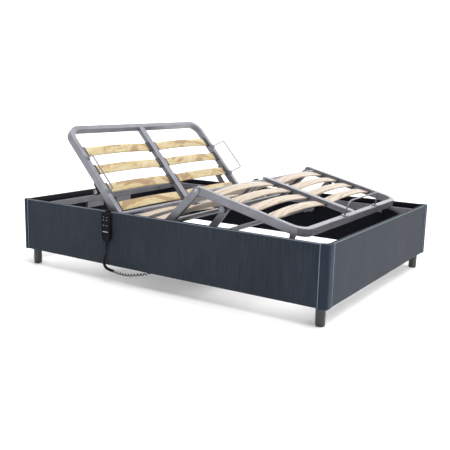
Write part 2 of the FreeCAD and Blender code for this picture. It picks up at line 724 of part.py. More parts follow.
def build_back():
    half_centre = CENTRE_WIDE / 2 - STEP_IN
    frame = head(bow_frame(BACK_REACH, BACK_HALF))
    save("back_frame", on_back(frame))
    inner_end = BACK_REACH - (BACK_HALF - RAIL_IN)
    bar = head(centre_bar(PIVOT_TUBE_AT - CROSS_TUBE_R, inner_end, half_centre))
    tube = [head(piece) for piece in split_tube(PIVOT_TUBE_AT, 0, CROSS_TUBE_R, half_centre)]
    save("back_inner_bars", on_back(bar), *[on_back(piece) for piece in tube])
    places = [-x for x in spread(BACK_SLATS, BACK_REACH, SLATS_PER_LONG_SECTION)]
    slats, holders = slat_set(places, half_centre, BACK_SLAT_BOW)
    save("back_slats", *[on_back(shape) for shape in slats])
    save("back_slat_holders", *[on_back(shape) for shape in holders])
    save("side_retainers", on_back(retainer_side(*NEAR_HOOP)), on_back(far(retainer_side(*FAR_HOOP))))
    shoe = glide_shoe()
    save("back_glide_shoes", on_back(shoe), on_back(far(shoe)))


def build_thigh():
    half_centre = CENTRE_WIDE / 2 - STEP_IN
    rail_end = THIGH_REACH - HALF_BAR - END_GAP
    rail = box_tube(0, rail_end, RAIL_IN, BACK_HALF, -HALF_BAR, HALF_BAR, V(1, 0, 0))
    plug = box(0, HALF_BAR, RAIL_IN + BAR_WALL, BACK_HALF - BAR_WALL,
               BAR_WALL - HALF_BAR, HALF_BAR - BAR_WALL)
    rail = rail.fuse([rod_y(0, 0, HALF_BAR, RAIL_IN, BACK_HALF), plug])
    rail = rail.cut(rod_y(0, 0, PIN_R + PIN_FIT, RAIL_IN, BACK_HALF)).removeSplitter()
    bar = centre_bar(PIVOT_TUBE_AT - CROSS_TUBE_R, rail_end, half_centre)
    bars = [rail, far(rail), bar]
    for place in (PIVOT_TUBE_AT, THIGH_REACH - THIGH_TUBE_FROM_KNEE):
        bars += split_tube(place, 0, CROSS_TUBE_R, half_centre)
    save("thigh_frame", *[on_thigh(piece) for piece in bars])
    slats, holders = slat_set(spread(THIGH_SLATS, THIGH_REACH, 2), half_centre)
    save("thigh_slats", *[on_thigh(shape) for shape in slats])
    save("thigh_slat_holders", *[on_thigh(shape) for shape in holders])


def build_leg_section():
    half_centre = CENTRE_WIDE / 2 - 2 * STEP_IN
    save("leg_frame", on_leg(bow_frame(LEG_REACH, LEG_HALF)))
    inner_end = LEG_REACH - (LEG_HALF - RAIL_IN)
    bar = centre_bar(HALF_BAR + END_GAP, inner_end, half_centre)
    tube = split_tube(HALF_BAR + END_GAP + CROSS_TUBE_R, 0, CROSS_TUBE_R, half_centre)
    save("leg_inner_bars", on_leg(bar), *[on_leg(piece) for piece in tube])
    places = spread((HALF_BAR + LEG_SLATS[0], LEG_SLATS[1]), LEG_REACH, SLATS_PER_LONG_SECTION)
    slats, holders = slat_set(places, half_centre)
    save("leg_slats", *[on_leg(shape) for shape in slats])
    save("leg_slat_holders", *[on_leg(shape) for shape in holders])
    bar_x = LEG_REACH - (LEG_HALF - RAIL_IN) / 2
    face = HALF_BAR + CLAMP_T
    top = HALF_BAR + FOOT_HOOP_HIGH
    left, right = FOOT_HOOP_ENDS
    points = [V(bar_x, left, face), V(bar_x, left, top), V(bar_x, right, top), V(bar_x, right, face)]
    feet = [clamp(bar_x, y, BAR_WIDE - 4, 34) for y in FOOT_HOOP_ENDS]
    save("foot_retainer", on_leg(wire_along(points, HOOP_CORNER_R).fuse(feet).removeSplitter()))


# ---- lifting shafts ----

def back_roller_centre():
    """Where the arm's tip meets the line that the roller keeps to under the raised back."""
    turn = math.radians(BACK_ANGLE)
    along = V(-math.cos(turn), 0, math.sin(turn))
    normal = V(math.sin(turn), 0, math.cos(turn))
    depth = HALF_BAR + SHOE_REST_T + ROLLER_GAP + ROLLER_R
    return arm_tip(V(BACK_SHAFT_X, 0, SHAFT_Z), BACK_PIVOT - normal * depth, along)


def leg_roller_centre():
    turn = math.radians(LEG_SLOPE)
    along = V(math.cos(turn), 0, -math.sin(turn))
    normal = V(math.sin(turn), 0, math.cos(turn))
    depth = HALF_BAR + LEG_ROLLER_GAP + ROLLER_R
    return arm_tip(V(LEG_SHAFT_X, 0, SHAFT_Z), KNEE - normal * depth, along)


def arm_tip(shaft, point, along):
    """The outer crossing of a circle of arm length about the shaft and a line."""
    offset = point - shaft
    b = offset.dot(along)
    c = offset.dot(offset) - ARM_LENGTH ** 2
    return point + along * (-b + math.sqrt(b * b - c))


def lift_shaft(shaft, roller_centre, lever_turn):
    """Torque tube with two roller arms and the forked lever, welded into one piece."""
    tube = tube_y(shaft.x, shaft.z, SHAFT_R, SHAFT_WALL, -SIDE_RAIL_IN, SIDE_RAIL_IN)
    bore = rod_y(shaft.x, shaft.z, SHAFT_R - SHAFT_WALL, -SIDE_RAIL_IN, SIDE_RAIL_IN)
    arm = link_plate(shaft, roller_centre, ARM_ROOT_R, ARM_TIP_R, ARM_IN, ARM_OUT)
    pin = rod_y(roller_centre.x, roller_centre.z, PIN_R, ARM_OUT, ROLLER_OUT + ROLLER_GAP + 2)
    boss = rod_y(roller_centre.x, roller_centre.z, PIN_R + 3, ARM_OUT, ROLLER_IN - ROLLER_GAP)
    cap_in = ROLLER_OUT + ROLLER_GAP
    cap = rod_y(roller_centre.x, roller_centre.z, PIN_R + 3, cap_in, cap_in + 2)
    side = arm.fuse([pin, boss, cap])
    tip = shaft + V(LEVER_LENGTH * math.sin(lever_turn), 0, -LEVER_LENGTH * math.cos(lever_turn))
    fork = link_plate(shaft, tip, SHAFT_R + 5, LEVER_TIP_R, LEVER_OFF_CENTRE, LEVER_OFF_CENTRE + LEVER_T)
    forks = [beside_arms(fork), beside_arms(far(fork))]
    return tube.fuse([side, far(side)] + forks).cut(bore).removeSplitter(), tip


def rollers(centre):
    ring = rod_y(centre.x, centre.z, ROLLER_R, ROLLER_IN, ROLLER_OUT)
    ring = ring.cut(rod_y(centre.x, centre.z, PIN_R + PIN_FIT, ROLLER_IN, ROLLER_OUT))
    return [ring, far(ring)]


def beside_arms(shape):
    """Carry a piece of the drive from the middle of the bed to the drive's place."""
    return moved(shape, V(0, DRIVE_Y, 0))


def thrust_nut(pin_x, towards):
    """Nut on the spindle; two stub pins push the levers and the body lies towards +X or -X."""
    x0, x1 = sorted((pin_x - towards * NUT_PIN_AT, pin_x + towards * (NUT_LONG - NUT_PIN_AT)))
    z = SHAFT_Z - LEVER_LENGTH
    body = box(x0, x1, -NUT_HALF_WIDE, NUT_HALF_WIDE, z - NUT_HALF_DEEP, z + NUT_HALF_DEEP)
    stub = rod_y(pin_x, z, PIN_R, NUT_HALF_WIDE - 4, NUT_PIN_HALF)
    nut = body.fuse([stub, far(stub)]).cut(rod_x(0, z, SPINDLE_R + PIN_FIT, x0, x1)).removeSplitter()
    return beside_arms(nut)


def build_lifts():
    back_shaft = V(BACK_SHAFT_X, 0, SHAFT_Z)
    leg_shaft = V(LEG_SHAFT_X, 0, SHAFT_Z)
    back_roller = back_roller_centre()
    leg_roller = leg_roller_centre()
    shape, back_tip = lift_shaft(back_shaft, back_roller, -math.radians(BACK_LEVER_PAST_MID))
    save("back_lift_shaft", shape)
    shape, leg_tip = lift_shaft(leg_shaft, leg_roller, math.radians(LEG_LEVER_PAST_MID))
    save("leg_lift_shaft", shape)
    save("back_lift_rollers", *rollers(back_roller))
    save("leg_lift_rollers", *rollers(leg_roller))
    reach = LEVER_TIP_R + PIN_R + NUT_GAP
    save("back_thrust_nut", thrust_nut(back_tip.x + reach, 1))
    save("leg_thrust_nut", thrust_nut(leg_tip.x - reach, -1))
    print("back roller", back_roller, "leg roller", leg_roller)
    print("knee", KNEE, "back lever tip", back_tip, "leg lever tip", leg_tip)
    bearings = []
    for shaft in (back_shaft, leg_shaft):
        y0 = SIDE_RAIL_IN - BEARING_T
        plate = box(shaft.x - BEARING_HALF, shaft.x + BEARING_HALF, y0, SIDE_RAIL_IN, shaft.z, SIDE_RAIL_TOP)
        plate = plate.fuse(rod_y(shaft.x, shaft.z, BEARING_HALF, y0, SIDE_RAIL_IN))
        plate = plate.cut(rod_y(shaft.x, shaft.z, SHAFT_R + SHAFT_FIT, y0, SIDE_RAIL_IN)).removeSplitter()
        bearings += [plate, far(plate)]
    save("shaft_bearings", *bearings)


def build_drive():
    x0 = BACK_SHAFT_X - DRIVE_END
    x1 = LEG_SHAFT_X + DRIVE_END
    low = SHAFT_Z - DRIVE_BELOW_SHAFT
    high = SHAFT_Z + DRIVE_ABOVE_SHAFT
    half = DRIVE_HALF_WIDE
    wall = DRIVE_WALL
    shell = round_edges(box(x0, x1, -half, half, low, high), 8, lambda edge: edge.CenterOfMass.z < high - 1)
    shell = shell.cut(box(x0 + wall, x1 - wall, wall - half, half - wall, low + wall, high - wall))
    shafts = [rod_y(x, SHAFT_Z, SHAFT_R + 1, -half, half) for x in (BACK_SHAFT_X, LEG_SHAFT_X)]
    shell = shell.cut(shafts)
    save("drive_housing", beside_arms(shell.common(box(x0, x1, -half, half, low, SHAFT_Z))))
    save("drive_cover", beside_arms(shell.common(box(x0, x1, -half, half, SHAFT_Z, high))))
    z = SHAFT_Z - LEVER_LENGTH
    gear_start = BACK_SHAFT_X + BACK_GEAR_FROM_SHAFT
    gear_end = LEG_SHAFT_X - LEG_GEAR_FROM_SHAFT
    save("drive_spindles", rod_x(DRIVE_Y, z, SPINDLE_R, x0 + wall, gear_start),
         rod_x(DRIVE_Y, z, SPINDLE_R, gear_end, x1 - wall))
    floor = low + wall
    motors = []
    for start, sign in ((gear_start, 1), (gear_end, -1)):
        g0, g1 = sorted((start, start + sign * GEARBOX_LONG))
        m0, m1 = sorted((start + sign * GEARBOX_LONG, start + sign * (GEARBOX_LONG + MOTOR_LONG)))
        gearbox = box(g0, g1, -GEARBOX_HALF, GEARBOX_HALF, floor, z + GEARBOX_ABOVE)
        motors.append(beside_arms(gearbox.fuse(rod_x(0, z, MOTOR_R, m0, m1))))
    save("drive_motors", *motors)


# ---- foot rollers and ramps ----

def foot_roller_centre(thigh_angle):
    slope = math.radians(LEG_RATIO * thigh_angle)
    along = V(math.cos(slope), 0, -math.sin(slope))
    normal = V(math.sin(slope), 0, math.cos(slope))
    return knee_at(thigh_angle) + along * FOOT_ROLLER_AT - normal * FOOT_ROLLER_DROP


def build_foot_guides():
    centre = foot_roller_centre(THIGH_ANGLE)
    y0 = SIDE_RAIL_IN - RAMP_T
    roller_out = SIDE_RAIL_IN - 3
    roller_in = roller_out - FOOT_ROLLER_WIDE
    ring = rod_y(centre.x, centre.z, FOOT_ROLLER_R, roller_in, roller_out)
    ring = ring.cut(rod_y(centre.x, centre.z, PIN_R + PIN_FIT, roller_in, roller_out))
    save("foot_rollers", ring, far(ring))
    root = V(FOOT_ROLLER_AT, 0, 0)
    tip = V(FOOT_ROLLER_AT, 0, -FOOT_ROLLER_DROP)
    plate = link_plate(root, tip, 17, 12, LEG_HALF, LEG_HALF + HINGE_PLATE)
    axle = rod_y(tip.x, tip.z, PIN_R, LEG_HALF + HINGE_PLATE, roller_out + 2)
    bracket = plate.fuse(axle)
    save("foot_roller_brackets", on_leg(bracket), on_leg(far(bracket)))
    points = []
    steps = 12
    for step in range(-1, steps + 2):
        angle = THIGH_ANGLE * step / steps
        centre = foot_roller_centre(angle)
        ahead = (foot_roller_centre(angle + 0.1) - foot_roller_centre(angle - 0.1)).normalize()
        below = V(-ahead.z, 0, ahead.x)
        track = centre + below * (FOOT_ROLLER_R + FOOT_ROLLER_GAP)
        points.append(V(track.x, y0, track.z))
    curve = Part.BSplineCurve()
    curve.interpolate(points)
    first = points[0]
    last = points[-1]
    floor = PIVOT_Z - RAMP_FOOT
    head_x = last.x - RAMP_STOP
    corners = [last, V(head_x, y0, last.z), V(head_x, y0, floor), V(first.x, y0, floor), first]
    edges = [curve.toShape()]
    edges += [Part.LineSegment(a, b).toShape() for a, b in zip(corners, corners[1:])]
    ramp = Part.Face(Part.Wire(edges)).extrude(V(0, RAMP_T, 0))
    save("foot_ramps", ramp, far(ramp))


def build_hinges():
    """Fixed plates and pins at the back and thigh pivots, and the thigh's own at the knee."""
    fixed = [moved(plate, BACK_PIVOT) for plate in hinge_plates(HINGE_PLATE_LAP, FRAME_HALF)]
    fixed += [moved(plate, THIGH_PIVOT) for plate in hinge_plates(-HINGE_PLATE_LAP, FRAME_HALF)]
    save("seat_hinge_plates", *fixed)
    pins = [moved(pin, pivot) for pivot in (BACK_PIVOT, THIGH_PIVOT) for pin in hinge_pins(FRAME_HALF)]
    save("seat_hinge_pins", *pins)
    at_knee = V(THIGH_REACH, 0, 0)
    plates = [moved(plate, at_knee) for plate in hinge_plates(-HINGE_PLATE_LAP, BACK_HALF)]
    save("knee_hinge_plates", *[on_thigh(plate) for plate in plates])
    save("knee_hinge_pins", *[on_thigh(moved(pin, at_knee)) for pin in hinge_pins(BACK_HALF)])


# ---- handset, cord and control box ----

def handset_outline(inset):
    """Front view of the handset, narrowing to the cord, as a face at y = 0."""
    half = HANDSET_WIDE / 2 - inset
    neck = HANDSET_NECK / 2 - inset
    top = HANDSET_TOP - inset
    low = HANDSET_TOP - HANDSET_LONG + inset
    shoulder = low + HANDSET_TAPER
    corner = 10.0
    q = corner * (1 - math.sqrt(0.5))
    right = HANDSET_X + half
    left = HANDSET_X - half
    lines = [(V(left, 0, shoulder), V(left, 0, top - corner)),
             (V(left + corner, 0, top), V(right - corner, 0, top)),
             (V(right, 0, top - corner), V(right, 0, shoulder)),
             (V(right, 0, shoulder), V(HANDSET_X + neck, 0, low)),
             (V(HANDSET_X + neck, 0, low), V(HANDSET_X - neck, 0, low)),
             (V(HANDSET_X - neck, 0, low), V(left, 0, shoulder))]
    edges = [Part.LineSegment(a, b).toShape() for a, b in lines]
    edges.insert(1, Part.Arc(V(left, 0, top - corner), V(left + q, 0, top - q),
                             V(left + corner, 0, top)).toShape())
    edges.insert(3, Part.Arc(V(right - corner, 0, top), V(right - q, 0, top - q),
                             V(right, 0, top - corner)).toShape())
    return Part.Face(Part.Wire(edges))


def slab(face, y0, y1):
    piece = face.copy()
    piece.translate(V(0, y0, 0))
    return piece.extrude(V(0, y1 - y0, 0))


def build_handset():
    back_y = -(COVER_Y + HANDSET_OFF)
    split_y = back_y - HANDSET_T / 2
    front_y = back_y - HANDSET_T
    button_floor = front_y + BUTTON_DEEP
    back = slab(handset_outline(0), split_y, back_y)
    back = back.cut(slab(handset_outline(SHELL_T), split_y, back_y - SHELL_T))
    front = slab(handset_outline(0), front_y, split_y)
    front = front.cut(slab(handset_outline(SHELL_T), front_y + SHELL_T, split_y))
    places = [(HANDSET_X + side * BUTTON_OFF, z) for z in BUTTON_ROWS for side in (-1, 1)]
    half_w = BUTTON_WIDE / 2
    half_h = BUTTON_HIGH / 2
    fit = BUTTON_FIT
    names = ("button_back_up", "button_back_down", "button_legs_up", "button_legs_down")
    for name, (x, z) in zip(names, places):
        front = front.cut(box(x - half_w - fit, x + half_w + fit, front_y, front_y + SHELL_T,
                              z - half_h - fit, z + half_h + fit))
        button = box(x - half_w, x + half_w, front_y - BUTTON_PROUD, button_floor, z - half_h, z + half_h)
        save(name, round_edges(button, 2, runs_along(V(0, 1, 0))))
    board = box(HANDSET_X - CIRCUIT_HALF, HANDSET_X + CIRCUIT_HALF, split_y - CIRCUIT_T, split_y,
                BUTTON_ROWS[1] - 30, BUTTON_ROWS[0] + 14)
    save("handset_front", front)
    save("handset_back", back)
    save("handset_circuit_board", board)
    low = HANDSET_TOP - HANDSET_LONG
    relief = Part.makeCone(RELIEF_TOP_R, RELIEF_END_R, RELIEF_LONG, V(HANDSET_X, split_y, low), V(0, 0, -1))
    save("handset_strain_relief", relief)
    half = CLIP_WIDE / 2
    hook_in = -INNER_Y + COVER_LIP + HANDSET_OFF
    hook_top = RIM + HANDSET_OFF
    left = HANDSET_X - half
    right = HANDSET_X + half
    plate_out = back_y + HANDSET_OFF - 0.2
    plate = box(left, right, back_y, plate_out, RIM - CLIP_DOWN_OUTSIDE, hook_top + CLIP_T)
    bridge = box(HANDSET_X - half, HANDSET_X + half, back_y, hook_in + CLIP_T, hook_top, hook_top + CLIP_T)
    tongue = box(left, right, hook_in, hook_in + CLIP_T, RIM - CLIP_DOWN_INSIDE, hook_top + CLIP_T)
    save("handset_clip", plate.fuse([bridge, tongue]).removeSplitter())
    control = box(CONTROL_X, CONTROL_X + CONTROL_LONG, -INNER_Y, CONTROL_DEEP - INNER_Y,
                  CONTROL_Z, CONTROL_Z + CONTROL_HIGH)
    save("control_box", round_edges(control, 4, lambda edge: edge.CenterOfMass.y > 1 - INNER_Y))
    build_cord(V(HANDSET_X, split_y, low - RELIEF_LONG - CORD_GAP))


def build_cord(start):
    """Curly cord as one fat tube of the coil's outer diameter, from the strain relief to the control box."""
    entry = V(CONTROL_X + CORD_ENTRY, CONTROL_DEEP / 2 - INNER_Y, CONTROL_Z)
    route = [start, start - V(0, 0, 14), V(-318, -701, 138), V(-321, -702, 100), V(-310, -703, 81),
             V(-285, -703, 72), V(-245, -703, 68), V(-205, -703, 63), V(-160, -702, 63),
             V(-120, -700, 70), V(-84, -686, 75), V(-50, -660, 80), entry - V(0, 0, 35), entry]
    edges = []
    at = route[0]
    radii = []
    for before, corner, after in zip(route, route[1:], route[2:]):
        back = before - corner
        ahead = after - corner
        reach = 0.45 * min(back.Length, ahead.Length)
        back.normalize()
        ahead.normalize()
        half_turn = (math.pi - back.getAngle(ahead)) / 2
        radius = reach / math.tan(half_turn)
        radii.append(radius)
        first = corner + back * reach
        last = corner + ahead * reach
        middle = corner + (back + ahead).normalize() * (radius / math.cos(half_turn) - radius)
        edges += [Part.LineSegment(at, first).toShape(), Part.Arc(first, middle, last).toShape()]
        at = last
    edges.append(Part.LineSegment(at, route[-1]).toShape())
    path = Part.Wire(edges)
    ring = Part.Wire(Part.makeCircle(CORD_R, route[0], route[1] - route[0]))
    cord = path.makePipeShell([ring], True, False)
    print("cord length", round(path.Length, 1), "radii", [round(radius) for radius in radii])
    print("cord volume over section times length", cord.Volume / (math.pi * CORD_R ** 2 * path.Length))
    save("handset_cord", cord)


build_box()
build_legs()
build_fixed_frame()
build_seat()
build_back()
build_thigh()
build_leg_section()
build_lifts()
build_drive()
build_foot_guides()
build_hinges()
build_handset()
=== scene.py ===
import bpy
import json
import math
import random
from mathutils import Matrix, Vector, noise


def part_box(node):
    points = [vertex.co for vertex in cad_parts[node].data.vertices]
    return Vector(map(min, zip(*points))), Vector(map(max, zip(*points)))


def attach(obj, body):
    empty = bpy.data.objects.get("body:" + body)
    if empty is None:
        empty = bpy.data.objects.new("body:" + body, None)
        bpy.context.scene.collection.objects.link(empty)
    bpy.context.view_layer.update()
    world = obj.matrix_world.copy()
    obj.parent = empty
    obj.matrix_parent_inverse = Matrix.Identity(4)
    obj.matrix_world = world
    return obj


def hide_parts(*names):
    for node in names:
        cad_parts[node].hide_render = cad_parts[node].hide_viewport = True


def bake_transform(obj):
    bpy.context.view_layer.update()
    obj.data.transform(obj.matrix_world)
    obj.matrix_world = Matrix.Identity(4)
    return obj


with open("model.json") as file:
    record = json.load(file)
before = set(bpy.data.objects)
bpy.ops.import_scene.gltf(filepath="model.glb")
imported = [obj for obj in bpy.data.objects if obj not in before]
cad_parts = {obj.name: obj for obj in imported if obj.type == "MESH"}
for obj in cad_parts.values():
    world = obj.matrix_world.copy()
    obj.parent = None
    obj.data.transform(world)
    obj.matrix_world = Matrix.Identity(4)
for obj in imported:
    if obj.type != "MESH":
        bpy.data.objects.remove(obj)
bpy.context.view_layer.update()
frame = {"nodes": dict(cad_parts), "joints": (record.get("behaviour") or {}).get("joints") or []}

random.seed(11)
NODES = frame["nodes"]
JOINTS = {joint["name"]: joint for joint in frame["joints"]}
MM = 0.001


# ---------------------------------------------------------------- shader expressions

class Signal:
    """A shader socket that can be used in a Python expression."""

    def __init__(self, finish, socket):
        self.finish = finish
        self.socket = socket

    def math(self, operation, first, second=0.0):
        return self.finish.node("Math", {"operation": operation}, {0: first, 1: second})

    def __add__(self, other):
        return self.math("ADD", self, other)

    def __radd__(self, other):
        return self.math("ADD", other, self)

    def __sub__(self, other):
        return self.math("SUBTRACT", self, other)

    def __rsub__(self, other):
        return self.math("SUBTRACT", other, self)

    def __mul__(self, other):
        return self.math("MULTIPLY", self, other)

    def __rmul__(self, other):
        return self.math("MULTIPLY", other, self)

    def __truediv__(self, other):
        return self.math("DIVIDE", self, other)

    def __rtruediv__(self, other):
        return self.math("DIVIDE", other, self)


class Finish:
    """One material: a Principled shader and the nodes that feed it."""

    def __init__(self, name, **constants):
        self.material = bpy.data.materials.new(name)
        self.material.use_nodes = True
        self.tree = self.material.node_tree
        self.shader = self.tree.nodes["Principled BSDF"]
        for socket, value in constants.items():
            self.shader.inputs[socket.replace("_", " ").title().replace("Ior", "IOR")].default_value = value

    def node(self, kind, settings=None, sockets=None, out=0):
        made = self.tree.nodes.new("ShaderNode" + kind)
        for key, value in (settings or {}).items():
            if key == "stops":
                ramp = made.color_ramp.elements
                while len(ramp) < len(value):
                    ramp.new(0.5)
                for stop, (place, colour) in zip(ramp, value):
                    stop.position = place
                    stop.color = (*colour, 1.0)
            else:
                setattr(made, key, value)
        for key, value in (sockets or {}).items():
            if isinstance(value, Signal):
                self.tree.links.new(value.socket, made.inputs[key])
            else:
                made.inputs[key].default_value = value
        return Signal(self, made.outputs[out])

    def place(self, scale=(1, 1, 1)):
        """Object coordinates in metres, stretched by scale."""
        coordinates = self.node("TexCoord", out=3)
        return self.node("VectorMath", {"operation": "MULTIPLY"}, {0: coordinates, 1: scale})

    def parts(self, vector):
        split = self.node("SeparateXYZ", None, {0: vector})
        outputs = split.socket.node.outputs
        return [Signal(self, outputs[index]) for index in range(3)]

    def joined(self, x, y, z):
        return self.node("CombineXYZ", None, {0: x, 1: y, 2: z})

    def grain(self, vector, scale=1.0, detail=3.0, rough=0.5, twist=0.0):
        return self.node("TexNoise", None, {"Vector": vector, "Scale": scale, "Detail": detail,
                                            "Roughness": rough, "Distortion": twist})

    def ramp(self, value, *stops):
        return self.node("ValToRGB", {"stops": stops}, {0: value})

    def blend(self, share, first, second):
        pair = [colour if isinstance(colour, Signal) else (*colour, 1.0) for colour in (first, second)]
        return self.node("Mix", {"data_type": "RGBA"},
                         {0: share, 6: pair[0], 7: pair[1]}, out=2)

    def span(self, value, low, high, to_low=0.0, to_high=1.0):
        """Value moved from one range of numbers to another and held at its ends."""
        return self.node("MapRange", None, {0: value, 1: low, 2: high, 3: to_low, 4: to_high})

    def bump(self, height, depth):
        return self.node("Bump", None, {"Height": height, "Distance": depth, "Strength": 1.0})

    def feed(self, **signals):
        for key, signal in signals.items():
            self.tree.links.new(signal.socket, self.shader.inputs[key.replace("_", " ").title()])
        return self.material


# ---------------------------------------------------------------- finishes

def upholstery(name, dark, light):
    """Fine woven cloth with slubs that run up and down the panels."""
    cloth = Finish(name, roughness=0.9, sheen_weight=0.1, sheen_roughness=0.5, specular_ior_level=0.2)
    x, y, z = cloth.parts(cloth.place())
    along = x + y
    slubs = cloth.grain(cloth.joined(along * 210.0, z * 7.0, x * 0.5), 1.0, 4.0, 0.62)
    threads = cloth.grain(cloth.joined(along * 900.0, z * 45.0, 0.0), 1.0, 2.0)
    clouds = cloth.grain(cloth.place((3.0, 3.0, 2.0)), 1.0, 2.0)
    specks = cloth.grain(cloth.joined(along * 420.0, z * 160.0, y), 1.0, 1.0)
    shade = cloth.span(slubs * 0.62 + threads * 0.2 + clouds * 0.35, 0.42, 0.82)
    shade = shade + cloth.span(specks, 0.68, 0.78) * 0.35
    colour = cloth.blend(cloth.span(shade, 0.0, 1.25), dark, light)
    weft = cloth.grain(cloth.joined(along * 150.0, z * 1400.0, 0.0), 1.0, 1.0)
    warp = cloth.grain(cloth.joined(along * 1400.0, z * 150.0, 0.0), 1.0, 1.0)
    weave = cloth.bump(weft + warp + slubs * 0.8, 0.0006)
    return cloth.feed(base_color=colour, normal=weave, roughness=cloth.span(threads, 0.3, 0.7, 0.84, 0.96))


def lining():
    """Black non-woven cloth stapled inside the box."""
    cloth = Finish("black_lining", roughness=0.95, specular_ior_level=0.2)
    fibres = cloth.grain(cloth.place((420.0, 420.0, 420.0)), 1.0, 4.0, 0.7, 1.5)
    dots = cloth.node("TexVoronoi", None, {"Vector": cloth.place((260.0, 260.0, 260.0)), "Scale": 1.0})
    colour = cloth.blend(cloth.span(fibres, 0.35, 0.7), (0.004, 0.005, 0.008), (0.013, 0.016, 0.024))
    return cloth.feed(base_color=colour, normal=cloth.bump(fibres + dots * 0.5, 0.0005))


def powder_coat(name, dark, light, metal=0.35):
    """Grey powder coat with a faint orange peel and rub marks."""
    coat = Finish(name, metallic=metal, coat_weight=0.12, coat_roughness=0.25)
    peel = coat.grain(coat.place((520.0, 520.0, 520.0)), 1.0, 2.0)
    drift = coat.grain(coat.place((9.0, 9.0, 9.0)), 1.0, 3.0)
    rubs = coat.grain(coat.place((60.0, 7.0, 60.0)), 1.0, 5.0, 0.7)
    worn = coat.span(rubs, 0.62, 0.74)
    colour = coat.blend(coat.span(drift, 0.3, 0.7), dark, light)
    colour = coat.blend(worn * 0.35, colour, (0.50, 0.50, 0.53))
    roughness = coat.span(drift, 0.3, 0.7, 0.34, 0.46) + worn * 0.08
    return coat.feed(base_color=colour, roughness=roughness, normal=coat.bump(peel, 0.00012))


def birch(name, pale, honey, knot):
    """Clear-coated bent veneer with grain along the slat."""
    wood = Finish(name, coat_weight=0.15, coat_roughness=0.3)
    x, y, z = wood.parts(wood.place())
    across = x + z * 0.7
    drift = wood.grain(wood.joined(across * 4.0, y * 1.3, z), 1.0, 2.0)
    lines = wood.grain(wood.joined(across * 95.0, y * 3.4, z * 9.0 + x * 17.0), 1.0, 5.0, 0.6, 1.6)
    fine = wood.grain(wood.joined(across * 620.0, y * 9.0, z * 40.0), 1.0, 3.0)
    flame = wood.node("TexWave", {"wave_type": "BANDS", "bands_direction": "X"},
                      {"Vector": wood.joined(across * 16.0 + drift * 2.6, y * 0.9, x * 3.0), "Scale": 1.0,
                       "Distortion": 5.0, "Detail": 3.0, "Detail Scale": 1.2})
    colour = wood.ramp(wood.span(lines * 0.7 + flame * 0.3, 0.34, 0.62),
                       (0.0, knot), (0.22, honey), (0.50, pale), (0.66, honey), (1.0, pale))
    colour = wood.blend(wood.span(drift, 0.4, 0.7) * 0.3, colour, honey)
    colour = wood.blend(wood.span(fine, 0.55, 0.75) * 0.25, colour, knot)
    return wood.feed(base_color=colour, roughness=wood.span(lines, 0.3, 0.7, 0.36, 0.52),
                     normal=wood.bump(fine * 0.5 + lines, 0.00018))


def moulded(name, colour, roughness, grain_size=900.0, depth=0.00012, coat=0.0, shine=0.5):
    """Plastic with a fine spark-eroded texture."""
    plastic = Finish(name, coat_weight=coat, coat_roughness=0.15, specular_ior_level=shine)
    texture = plastic.grain(plastic.place((grain_size,) * 3), 1.0, 2.0)
    drift = plastic.grain(plastic.place((25.0, 25.0, 25.0)), 1.0, 3.0)
    brighter = tuple(min(1.0, channel * 1.5 + 0.004) for channel in colour)
    tone = plastic.blend(plastic.span(drift, 0.3, 0.75), colour, brighter)
    sheen = plastic.span(drift, 0.3, 0.7, roughness - 0.05, roughness + 0.07)
    return plastic.feed(base_color=tone, roughness=sheen, normal=plastic.bump(texture, depth))


def zinc():
    """Bright zinc plate with turning marks."""
    plate = Finish("zinc_plate", metallic=1.0)
    blotch = plate.grain(plate.place((70.0, 70.0, 70.0)), 1.0, 4.0)
    marks = plate.grain(plate.place((900.0, 120.0, 900.0)), 1.0, 2.0)
    colour = plate.blend(plate.span(blotch, 0.35, 0.65), (0.48, 0.49, 0.50), (0.68, 0.68, 0.66))
    return plate.feed(base_color=colour, roughness=plate.span(blotch, 0.3, 0.7, 0.26, 0.42),
                      normal=plate.bump(marks, 0.00008))


def circuit_green():
    board = Finish("circuit_green", roughness=0.4)
    tracks = board.node("TexBrick", None, {"Vector": board.place((160.0, 160.0, 160.0)), "Scale": 1.0,
                                           "Color1": (0.02, 0.20, 0.08, 1), "Color2": (0.02, 0.26, 0.10, 1),
                                           "Mortar": (0.40, 0.30, 0.10, 1), "Mortar Size": 0.04})
    return board.feed(base_color=tracks)


CLOTH = upholstery("slate_cloth", (0.013, 0.018, 0.027), (0.042, 0.053, 0.073))
PAD_CLOTH = upholstery("slate_cloth_corner", (0.011, 0.018, 0.032), (0.032, 0.045, 0.068))
HEM = upholstery("hem_cloth_black", (0.004, 0.005, 0.008), (0.011, 0.013, 0.018))
# Lighter slate cloth on the covers' rolled top edge: a painted highlight along the rim.
PAINTED_RIM_HIGHLIGHT = upholstery("slate_cloth_painted_rim_highlight", (0.100, 0.125, 0.160), (0.200, 0.235, 0.285))
# Light blue piping cord: partly its own light colour, partly a painted highlight along the seam.
PIPING_AND_HIGHLIGHT = upholstery("piping_cloth_and_painted_highlight", (0.130, 0.180, 0.250), (0.240, 0.300, 0.380))
LINING = lining()
PAINT = powder_coat("frame_paint_grey", (0.190, 0.188, 0.216), (0.285, 0.283, 0.315))
WIRE_PAINT = powder_coat("wire_paint_grey", (0.17, 0.17, 0.19), (0.25, 0.25, 0.28), 0.5)
BIRCH_YELLOW = birch("birch_yellow", (0.58, 0.48, 0.28), (0.48, 0.35, 0.155), (0.31, 0.195, 0.085))
BIRCH_PALE = birch("birch_pale", (0.53, 0.45, 0.36), (0.45, 0.345, 0.25), (0.29, 0.205, 0.135))
BLACK_PLASTIC = moulded("black_plastic", (0.004, 0.004, 0.006), 0.58, shine=0.08)
CAP_PLASTIC = moulded("cap_plastic", (0.052, 0.052, 0.062), 0.55, shine=0.3)
GREY_PLASTIC = moulded("grey_plastic", (0.075, 0.076, 0.082), 0.5)
LEG_PLASTIC = moulded("leg_plastic", (0.006, 0.006, 0.007), 0.30, 500.0, 0.00006, 0.3)
